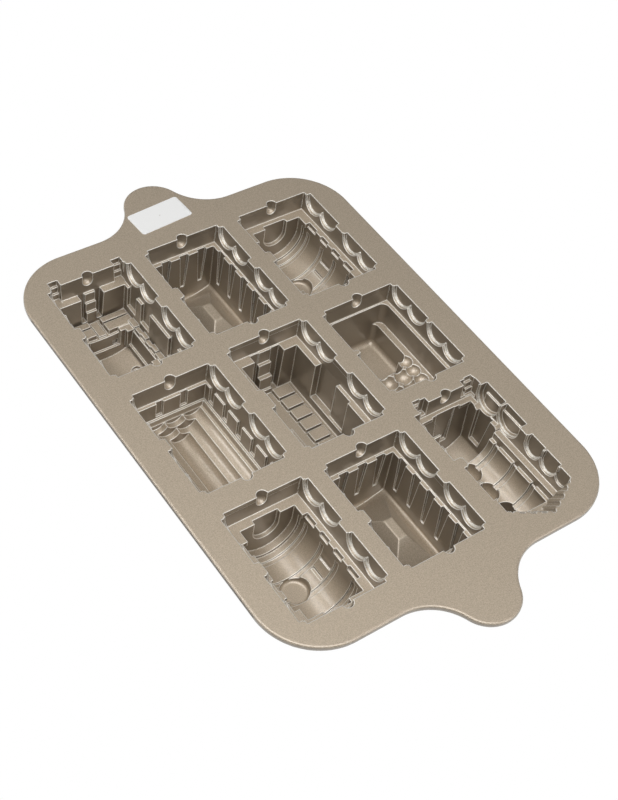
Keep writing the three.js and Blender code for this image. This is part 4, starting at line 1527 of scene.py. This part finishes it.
@dataclass
class Casting:
    """The whole pan and its share-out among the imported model's nodes.

    The upper side, with the cavities, and the under side, with the cups' outsides, are two fields: the upper side has
    the fine detail and gets close samples. They meet half way down the rim.
    """

    far_margin: float = 19.4
    handle_reach: float = 35.6
    half_pitch: float = 38.05
    seam: float = DECK + 0.35
    rim: float = 1.0
    offset: float = 0.13
    foot_cut: Pair = (300.0, 20.0)
    columns: tuple[tuple[float, tuple[tuple[str, Car], ...]], ...] = (
        (10.0, (("caboose_cup", Caboose()), ("log_car_cup", LogCar()), ("tank_car_cup_near", TankCar()))),
        (7.2, (("hopper_car_cup_far", HopperCar()), ("boxcar_cup", Boxcar()), ("hopper_car_cup_near", HopperCar()))),
        (9.5, (("tank_car_cup_far", TankCar()), ("tender_cup", Tender()), ("locomotive_cup", Locomotive()))),
    )

    def __post_init__(self) -> None:
        """Takes the deck's size and the columns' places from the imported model."""
        high = np.array(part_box("deck_plate")[1]) / MM
        self.top = float(high[2])
        self.outline = float(high[0]), float(high[1]) - self.handle_reach, float(high[1])
        self.berths = [berth for gap, cars in self.columns for berth in self._column(gap, cars)]

    def _column(self, gap: float, cars: Sequence[tuple[str, Car]]) -> list[Berth]:
        """Places a column's cars one behind the other from the far end.

        Args:
            gap: Space between the mouths.
            cars: The nodes and cars, the far one first.

        Returns:
            The cars at their places.
        """
        end = self.outline[1] - self.far_margin
        spots, ends = [], [BOUNDLESS]
        for node, car in cars:
            low, high = (np.array(corner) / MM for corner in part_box(node))
            y = end - car.reach().far
            end = y - car.reach().near - gap
            spots.append((node, car, float(low[0] + high[0]) / 2, y))
            ends.append(end + gap / 2)
        ends[-1] = -BOUNDLESS
        return [
            Berth(node, car, x, y, (self._share(x), Span(near, far)))
            for (node, car, x, y), far, near in zip(spots, ends, ends[1:])
        ]

    def _share(self, x: float) -> Span:
        """Returns the part of the deck's width that goes with a column, out to the rim and beyond at the sides."""
        half = self.half_pitch
        return Span(-BOUNDLESS if x < -half else x - half, BOUNDLESS if x > half else x + half)

    def _lattice(self, berth: Berth, step: float) -> Volume:
        """Lays samples over a berth's share of the pan, with one row more on each side.

        Args:
            berth: The car at its place.
            step: Distance between samples.

        Returns:
            The samples, with nothing joined.
        """
        reach = 3.0 * step
        axes = []
        for half, span in zip((self.outline[0] + reach, self.outline[2] + reach), berth.area):
            places = np.arange(-half, half + step, step)
            start, stop = np.searchsorted(places, (span.lo, span.hi))
            axes.append(places[max(start - 1, 0):stop + 1])
        return Volume(*axes, np.arange(-HEIGHT - reach, reach + step, step) + self.offset)

    def _upper(self, berth: Berth, samples: Samples) -> None:
        """Fills in the deck's face with one car's cavity, cut out of a tray of no end of depth.

        Args:
            berth: The car at its place.
            samples: The places to fill in.
        """
        hollow = samples.like()
        hollow.join(berth.moved(berth.car.cavity()))
        hollow.cut(berth.moved(berth.car.cores()), berth.car.core_ease)
        samples.join([Tray(*self.outline, thickness=2.0 * HEIGHT)])
        samples.field = np.maximum(samples.field, -hollow.field)

    def _under(self, berth: Berth, samples: Samples) -> None:
        """Fills in the deck's back with one cup's outside, cut flat at the foot.

        Args:
            berth: The car at its place.
            samples: The places to fill in.
        """
        samples.join([Tray(*self.outline)])
        samples.join(berth.moved(berth.car.shell()), SHELL_EASE)
        half, depth = self.foot_cut
        samples.cut([Block(mid(half), mid(half), Span(HEIGHT, HEIGHT + depth))])
        samples.cut(berth.moved(berth.car.hollows()))

    def _meshed(self, berth: Berth, step: float, fill: Callable[[Berth, Samples], None]) -> Net:
        """Meshes one side of a berth's share of the pan.

        Args:
            berth: The car at its place.
            step: Distance between samples.
            fill: Fills in the field of that side.

        Returns:
            The mesh.
        """
        volume = self._lattice(berth, step)
        fill(berth, volume)
        return Mesher(volume, lambda cloud: fill(berth, cloud)).net()

    def pieces(self) -> dict[str, tuple[Net, str]]:
        """Returns each piece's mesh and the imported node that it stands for."""
        parts: dict[str, tuple[Net, str]] = {}
        faces: dict[int, list[Net]] = {}
        backs: list[Net] = []
        for place, berth in enumerate(self.berths):
            upper = self._meshed(berth, FINE_STEP, self._upper)
            middle = upper.middles()
            within = Tray(*self.outline).plan(middle[:, 0], middle[:, 1]) < -self.rim
            on_deck = middle[:, 2] > -self.seam
            faces.setdefault(place % 3, []).append(upper.part(on_deck & (within | (middle[:, 2] > -0.5 * DECK))))
            under = self._meshed(berth, BACK_STEP, self._under)
            height = under.middles()[:, 2]
            on_back = height > -self.seam
            backs.append(under.part(on_back & (height < -0.5 * DECK + BACK_STEP)))
            cup = Net.joined([upper.part(within & ~on_deck), under.part(~on_back)])
            parts[berth.node.replace("_cup", "_casting")] = (cup, berth.node)
        for row, name in enumerate(("far", "middle", "near")):
            parts[f"deck_face_{name}"] = (Net.joined(faces[row]), "deck_plate")
        parts["deck_back"] = (Net.joined(backs), "deck_plate")
        return parts


def add_object(name: str, data: bpy.types.ID) -> bpy.types.Object:
    """Makes an object in the scene.

    Args:
        name: The object's name.
        data: Its mesh, light or camera.

    Returns:
        The object, at the origin.
    """
    made = bpy.data.objects.new(name, data)
    bpy.context.scene.collection.objects.link(made)
    return made


def add_mesh(name: str, net: Net, top: float) -> bpy.types.Object:
    """Makes a smooth mesh object.

    Args:
        name: The object's name.
        net: The mesh in millimetres, with heights over the deck's top.
        top: Height of the deck's top over the table, in millimetres.

    Returns:
        The object, at the origin.
    """
    mesh = bpy.data.meshes.new(name)
    points = (net.points + np.array([0.0, 0.0, top])) * MM
    mesh.vertices.add(len(points))
    mesh.vertices.foreach_set("co", points.astype(np.float32).ravel())
    mesh.loops.add(net.faces.size)
    mesh.loops.foreach_set("vertex_index", net.faces.astype(np.int32).ravel())
    mesh.polygons.add(len(net.faces))
    mesh.polygons.foreach_set("loop_start", np.arange(0, net.faces.size, net.faces.shape[1], dtype=np.int32))
    mesh.update(calc_edges=True)
    mesh.polygons.foreach_set("use_smooth", np.ones(len(net.faces), bool))
    mesh.set_sharp_from_angle(angle=SHARP_ANGLE)
    mesh.update()
    return add_object(name, mesh)


class Slot(Enum):
    """The record's material slots."""

    METAL = "coated_aluminium"
    PAPER = "paper"


def set_inputs(node: bpy.types.Node, values: dict[str, object]) -> None:
    """Sets a shader node's inputs by name, with underscores for spaces."""
    for key, value in values.items():
        node.inputs[key.replace("_", " ")].default_value = value


def node_of(tree: bpy.types.NodeTree, kind: str, **values: object) -> bpy.types.Node:
    """Adds a shader node and sets its input values by name.

    Args:
        tree: Where to add it.
        kind: Blender's name for the kind of node.
        values: Input values, with underscores for spaces in their names.

    Returns:
        The node.
    """
    made = tree.nodes.new(kind)
    set_inputs(made, values)
    return made


def principled(name: str, **values: object) -> tuple[bpy.types.Material, bpy.types.Node]:
    """Makes a material with a Principled shader.

    Args:
        name: The material's name.
        values: Input values, with underscores for spaces in their names.

    Returns:
        The material and its shader.
    """
    made = bpy.data.materials.new(name)
    made.use_nodes = True
    shader = made.node_tree.nodes["Principled BSDF"]
    set_inputs(shader, values)
    return made, shader


def speckle_group() -> bpy.types.NodeTree:
    """Returns a group that gives the coat's speckle: a fine grain, and its height with coarser pits."""
    tree = bpy.data.node_groups.new("coat_speckle", "ShaderNodeTree")
    link = tree.links.new
    tree.interface.new_socket("Vector", in_out="INPUT", socket_type="NodeSocketVector")
    for name in ("Grain", "Height"):
        tree.interface.new_socket(name, in_out="OUTPUT", socket_type="NodeSocketFloat")
    entry = tree.nodes.new("NodeGroupInput")
    leave = tree.nodes.new("NodeGroupOutput")
    fine = node_of(tree, "ShaderNodeTexNoise", Scale=1500.0, Detail=2.0, Roughness=0.6)
    pits = node_of(tree, "ShaderNodeTexNoise", Scale=620.0, Detail=1.0, Roughness=0.5)
    both = tree.nodes.new("ShaderNodeMath")
    both.operation = "ADD"
    for texture in (fine, pits):
        link(entry.outputs["Vector"], texture.inputs["Vector"])
    link(fine.outputs["Fac"], both.inputs[0])
    link(pits.outputs["Fac"], both.inputs[1])
    link(fine.outputs["Fac"], leave.inputs["Grain"])
    link(both.outputs[0], leave.inputs["Height"])
    return tree


def edge_group() -> bpy.types.NodeTree:
    """Returns a group that rounds edges off by their normal and tells how far it is turned and how steep it is."""
    tree = bpy.data.node_groups.new("coat_edges", "ShaderNodeTree")
    link = tree.links.new
    tree.interface.new_socket("Radius", in_out="INPUT", socket_type="NodeSocketFloat")
    tree.interface.new_socket("Normal", in_out="OUTPUT", socket_type="NodeSocketVector")
    for name in ("Edge", "Steep"):
        tree.interface.new_socket(name, in_out="OUTPUT", socket_type="NodeSocketFloat")
    entry = tree.nodes.new("NodeGroupInput")
    leave = tree.nodes.new("NodeGroupOutput")
    bevel = tree.nodes.new("ShaderNodeBevel")
    bevel.samples = 8
    flat = tree.nodes.new("ShaderNodeNewGeometry")
    turn = tree.nodes.new("ShaderNodeVectorMath")
    turn.operation = "DOT_PRODUCT"
    own = tree.nodes.new("ShaderNodeVectorTransform")
    own.vector_type, own.convert_from, own.convert_to = "NORMAL", "WORLD", "OBJECT"
    split = tree.nodes.new("ShaderNodeSeparateXYZ")
    link(entry.outputs["Radius"], bevel.inputs["Radius"])
    link(bevel.outputs["Normal"], turn.inputs[0])
    link(flat.outputs["Normal"], turn.inputs[1])
    link(bevel.outputs["Normal"], own.inputs["Vector"])
    link(own.outputs["Vector"], split.inputs["Vector"])
    link(bevel.outputs["Normal"], leave.inputs["Normal"])
    masks = ((turn.outputs["Value"], "Edge", EDGE_TURN), (split.outputs["Z"], "Steep", STEEP_RISE))
    for source, name, reach in masks:
        share = tree.nodes.new("ShaderNodeMapRange")
        for socket, value in zip(("From Min", "From Max", "To Min", "To Max"), (*reach, 0.0, 1.0)):
            share.inputs[socket].default_value = value
        link(source, share.inputs["Value"])
        link(share.outputs["Result"], leave.inputs[name])
    return tree


@dataclass(frozen=True)
class CoatFinish:
    """A champagne grey metallic coat with fine grain, with a painted highlight along its edges and painted shade on
    steep walls.

    Attributes:
        name: The material's name.
        dark: Colour at the low end of the grain.
        light: Colour at its high end.
        roughness: Roughness of the metal.
        metallic: How metallic it is.
        gloss: Roughness and index of the clear coat.
        grain: How far the two colours lie to either side of the grain's middle.
        relief: Strength and height of the bump, in metres.
        edge: Radius of the rounded edges, in metres.
        edge_highlight: Colour of the painted highlight along the edges.
        steep_shade: Share of the dark colour that steep walls get as painted shade.
    """

    name: str = "champagne_coat"
    dark: Triple = (0.455, 0.38, 0.288)
    light: Triple = (0.615, 0.515, 0.395)
    roughness: float = 0.56
    metallic: float = 0.6
    gloss: Pair = (0.25, 1.7)
    grain: float = 0.15
    relief: Pair = (0.12, 0.0002)
    edge: float = 0.001
    edge_highlight: Triple = (1.0, 0.97, 0.9)
    steep_shade: float = 0.65

    def material(self, speckle: bpy.types.NodeTree, edges: bpy.types.NodeTree) -> bpy.types.Material:
        """Makes the material.

        Args:
            speckle: The node group with the coat's grain.
            edges: The node group with the rounded edges.

        Returns:
            A Principled shader whose colour runs from dark to light with the grain and is mixed by the two masks:
            painted shade on steep walls, then a painted highlight along edges.
        """
        made, shader = principled(
            self.name, Roughness=self.roughness, Metallic=self.metallic,
            Coat_Weight=1.0, Coat_Roughness=self.gloss[0], Coat_IOR=self.gloss[1],
        )
        tree, link = made.node_tree, made.node_tree.links.new
        place = tree.nodes.new("ShaderNodeTexCoord")
        group = tree.nodes.new("ShaderNodeGroup")
        group.node_tree = speckle
        link(place.outputs["Object"], group.inputs["Vector"])
        ramp = tree.nodes.new("ShaderNodeValToRGB")
        ramp.color_ramp.elements[0].position = 0.5 - self.grain
        ramp.color_ramp.elements[0].color = (*self.dark, 1.0)
        ramp.color_ramp.elements[1].position = 0.5 + self.grain
        ramp.color_ramp.elements[1].color = (*self.light, 1.0)
        link(group.outputs["Grain"], ramp.inputs["Fac"])
        rounded = tree.nodes.new("ShaderNodeGroup")
        rounded.node_tree = edges
        rounded.inputs["Radius"].default_value = self.edge
        colour = ramp.outputs["Color"]
        # Painted shade on steep walls: a darker copy of the coat's dark colour, mixed in by how steep the face is.
        steep = (*(self.steep_shade * c for c in self.dark), 1.0)
        # Painted highlight along edges: a near-white colour mixed in where the rounded normal turns away from the
        # face's own.
        for mask, other in (("Steep", steep), ("Edge", (*self.edge_highlight, 1.0))):
            mixed = tree.nodes.new("ShaderNodeMixRGB")
            mixed.inputs["Color2"].default_value = other
            link(rounded.outputs[mask], mixed.inputs["Fac"])
            link(colour, mixed.inputs["Color1"])
            colour = mixed.outputs["Color"]
        link(colour, shader.inputs["Base Color"])
        bump = node_of(tree, "ShaderNodeBump", Strength=self.relief[0], Distance=self.relief[1])
        link(rounded.outputs["Normal"], bump.inputs["Normal"])
        link(group.outputs["Height"], bump.inputs["Height"])
        link(bump.outputs["Normal"], shader.inputs["Normal"])
        return made


@dataclass(frozen=True)
class PaperFinish:
    """Matt white paper with a faint fibre."""

    name: str = "label_paper"
    colour: Triple = (0.86, 0.86, 0.85)
    roughness: float = 0.55
    shade: float = 0.94

    def material(self) -> bpy.types.Material:
        """Returns the material."""
        made, shader = principled(self.name, Roughness=self.roughness)
        tree, link = made.node_tree, made.node_tree.links.new
        place = tree.nodes.new("ShaderNodeTexCoord")
        fibre = node_of(tree, "ShaderNodeTexNoise", Scale=900.0, Detail=4.0)
        link(place.outputs["Object"], fibre.inputs["Vector"])
        ramp = tree.nodes.new("ShaderNodeValToRGB")
        ramp.color_ramp.elements[0].color = (*(self.shade * c for c in self.colour), 1.0)
        ramp.color_ramp.elements[1].color = (*self.colour, 1.0)
        link(fibre.outputs["Fac"], ramp.inputs["Fac"])
        link(ramp.outputs["Color"], shader.inputs["Base Color"])
        return made


@dataclass(frozen=True)
class Label:
    """The paper label: a slim sheet with rounded corners and an eased upper edge."""

    corner: float = 2.0
    thickness: float = 0.28
    turn: float = 0.07
    sides: int = 96
    eased: Pair = (0.06, 0.995)
    rows: tuple[float, ...] = (0.9, 0.6, 0.3, 0.02)

    def net(self) -> tuple[Net, float]:
        """Makes the sheet.

        The outline is a rounded rectangle: for each angle, a corner arc about the nearest of four centres. The sheet
        is rings of that outline, up its edge and then drawn in towards the middle.

        Returns:
            The sheet's mesh, and the height of the deck's top in millimetres.
        """
        low, high = (np.array(corner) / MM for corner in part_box("blank_label"))
        middle = (low + high) / 2
        half = (high - low)[:2] / 2 - self.corner
        angles = np.linspace(0.0, 2.0 * np.pi, self.sides, endpoint=False) + np.pi / self.sides
        arc = np.stack([np.cos(angles), np.sin(angles)], axis=1)
        c, s = np.cos(self.turn), np.sin(self.turn)
        rim = (np.sign(arc) * half + self.corner * arc) @ np.array([[c, s], [-s, c]])
        rings = [(1.0, 0.0), (1.0, self.thickness - self.eased[0]), (self.eased[1], self.thickness)]
        rings += [(share, self.thickness) for share in self.rows]
        rows = [np.column_stack([rim * share, np.full(len(rim), height)]) for share, height in rings]
        points = np.concatenate(rows) + np.array([middle[0], middle[1], 0.0])
        count = len(angles)
        step = np.arange(count)
        after = (step + 1) % count
        faces = [
            np.stack([r * count + step, r * count + after, (r + 1) * count + after, (r + 1) * count + step], axis=1)
            for r in range(len(rings) - 1)
        ]
        return Net(points, np.concatenate(faces)), float(low[2])


@dataclass(frozen=True)
class Lamp:
    """A soft rectangular light that faces the pan, with its place and size in metres and its power in watts."""

    name: str
    place: Triple
    size: Pair
    power: float

    def build(self) -> None:
        """Adds the light to the scene."""
        data = bpy.data.lights.new(self.name, "AREA")
        data.shape = "RECTANGLE"
        data.size, data.size_y = self.size
        data.energy = self.power
        lamp = add_object(self.name, data)
        lamp.location = self.place
        lamp.rotation_euler = (-Vector(self.place)).to_track_quat("-Z", "Y").to_euler()


@dataclass(frozen=True)
class Studio:
    """The pale floor, the soft lights and the camera at the photograph's angle."""

    camera_place: Triple = (-0.44451, -0.47989, 0.72625)
    camera_turn: tuple[float, float, float, float] = (0.898652, 0.314349, -0.160473, -0.260495)
    lens: float = 67.575
    sensor: float = 36.0
    view_end: float = 20.0
    floor_half: float = 6.0
    floor_drop: float = 0.0005
    floor_grey: float = 0.8
    floor_roughness: float = 0.9
    air: float = 0.12
    lamps: tuple[Lamp, ...] = (
        Lamp("top_softbox", (-0.28, -0.2, 1.7), (1.7, 1.7), 26.0),
        Lamp("left_softbox", (-1.0, 0.6, 1.0), (0.7, 0.5), 4.5),
        Lamp("right_softbox", (0.6, -1.05, 0.8), (0.7, 0.5), 3.5),
    )

    def build(self, deck_top: float) -> None:
        """Sets the floor, the lights and the camera.

        Args:
            deck_top: Height of the deck's top over the table, in metres.
        """
        self._camera(deck_top)
        self._floor()
        self._lights()

    def _camera(self, deck_top: float) -> None:
        """Sets the camera at the photograph's place over the deck.

        Args:
            deck_top: Height of the deck's top over the table, in metres.
        """
        data = bpy.data.cameras.new("photo_camera")
        data.lens = self.lens
        data.sensor_width = self.sensor
        data.clip_end = self.view_end
        made = add_object("photo_camera", data)
        made.rotation_mode = "QUATERNION"
        made.rotation_quaternion = Quaternion(self.camera_turn)
        made.location = Vector(self.camera_place) + Vector((0.0, 0.0, deck_top))
        bpy.context.scene.camera = made

    def _floor(self) -> None:
        """Sets a floor that is white to the camera and in reflections, and lights the pan as pale grey."""
        mesh = bpy.data.meshes.new("studio_floor")
        half, low = self.floor_half, -self.floor_drop
        corners = [(-half, -half, low), (half, -half, low), (half, half, low), (-half, half, low)]
        mesh.from_pydata(corners, [], [(0, 1, 2, 3)])
        made = add_object("studio_floor", mesh)
        grey = (*[self.floor_grey] * 3, 1.0)
        paint, shader = principled("studio_white", Base_Color=grey, Roughness=self.floor_roughness)
        tree, link = paint.node_tree, paint.node_tree.links.new
        glow = node_of(tree, "ShaderNodeEmission", Color=(1.0, 1.0, 1.0, 1.0), Strength=1.0)
        seen = tree.nodes.new("ShaderNodeLightPath")
        mix = tree.nodes.new("ShaderNodeMixShader")
        rays = seen.outputs["Is Camera Ray"]
        for kind in ("Is Glossy Ray", "Is Transmission Ray"):
            either = tree.nodes.new("ShaderNodeMath")
            either.operation = "MAXIMUM"
            link(rays, either.inputs[0])
            link(seen.outputs[kind], either.inputs[1])
            rays = either.outputs[0]
        link(rays, mix.inputs[0])
        link(shader.outputs[0], mix.inputs[1])
        link(glow.outputs[0], mix.inputs[2])
        link(mix.outputs[0], tree.nodes["Material Output"].inputs["Surface"])
        mesh.materials.append(paint)

    def _lights(self) -> None:
        """Sets the pale air and the soft lights."""
        world = bpy.data.worlds.new("studio_air")
        world.use_nodes = True
        back = world.node_tree.nodes["Background"]
        back.inputs["Color"].default_value = (1.0, 1.0, 1.0, 1.0)
        back.inputs["Strength"].default_value = self.air
        bpy.context.scene.world = world
        for lamp in self.lamps:
            lamp.build()


def settle(piece: bpy.types.Object, node: str, slot: Slot, material: bpy.types.Material) -> None:
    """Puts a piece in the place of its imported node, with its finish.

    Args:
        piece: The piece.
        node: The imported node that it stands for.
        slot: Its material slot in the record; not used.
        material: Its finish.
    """
    piece.data.materials.append(material)
    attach(piece, "root")
    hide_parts(node)


def main() -> None:
    """Builds the pan's pieces, their finishes and the studio."""
    logging.basicConfig(level=logging.INFO)
    view = bpy.context.scene.view_settings
    view.view_transform = "Standard"
    casting = Casting()
    metal = CoatFinish().material(speckle_group(), edge_group())
    for name, (net, node) in casting.pieces().items():
        LOG.info("%s: %d faces", name, len(net.faces))
        settle(add_mesh(name, net, casting.top), node, Slot.METAL, metal)
    net, top = Label().net()
    paper = PaperFinish().material()
    settle(add_mesh("paper_label", net, top), "blank_label", Slot.PAPER, paper)
    Studio().build(casting.top * MM)


if __name__ == "__main__":
    main()
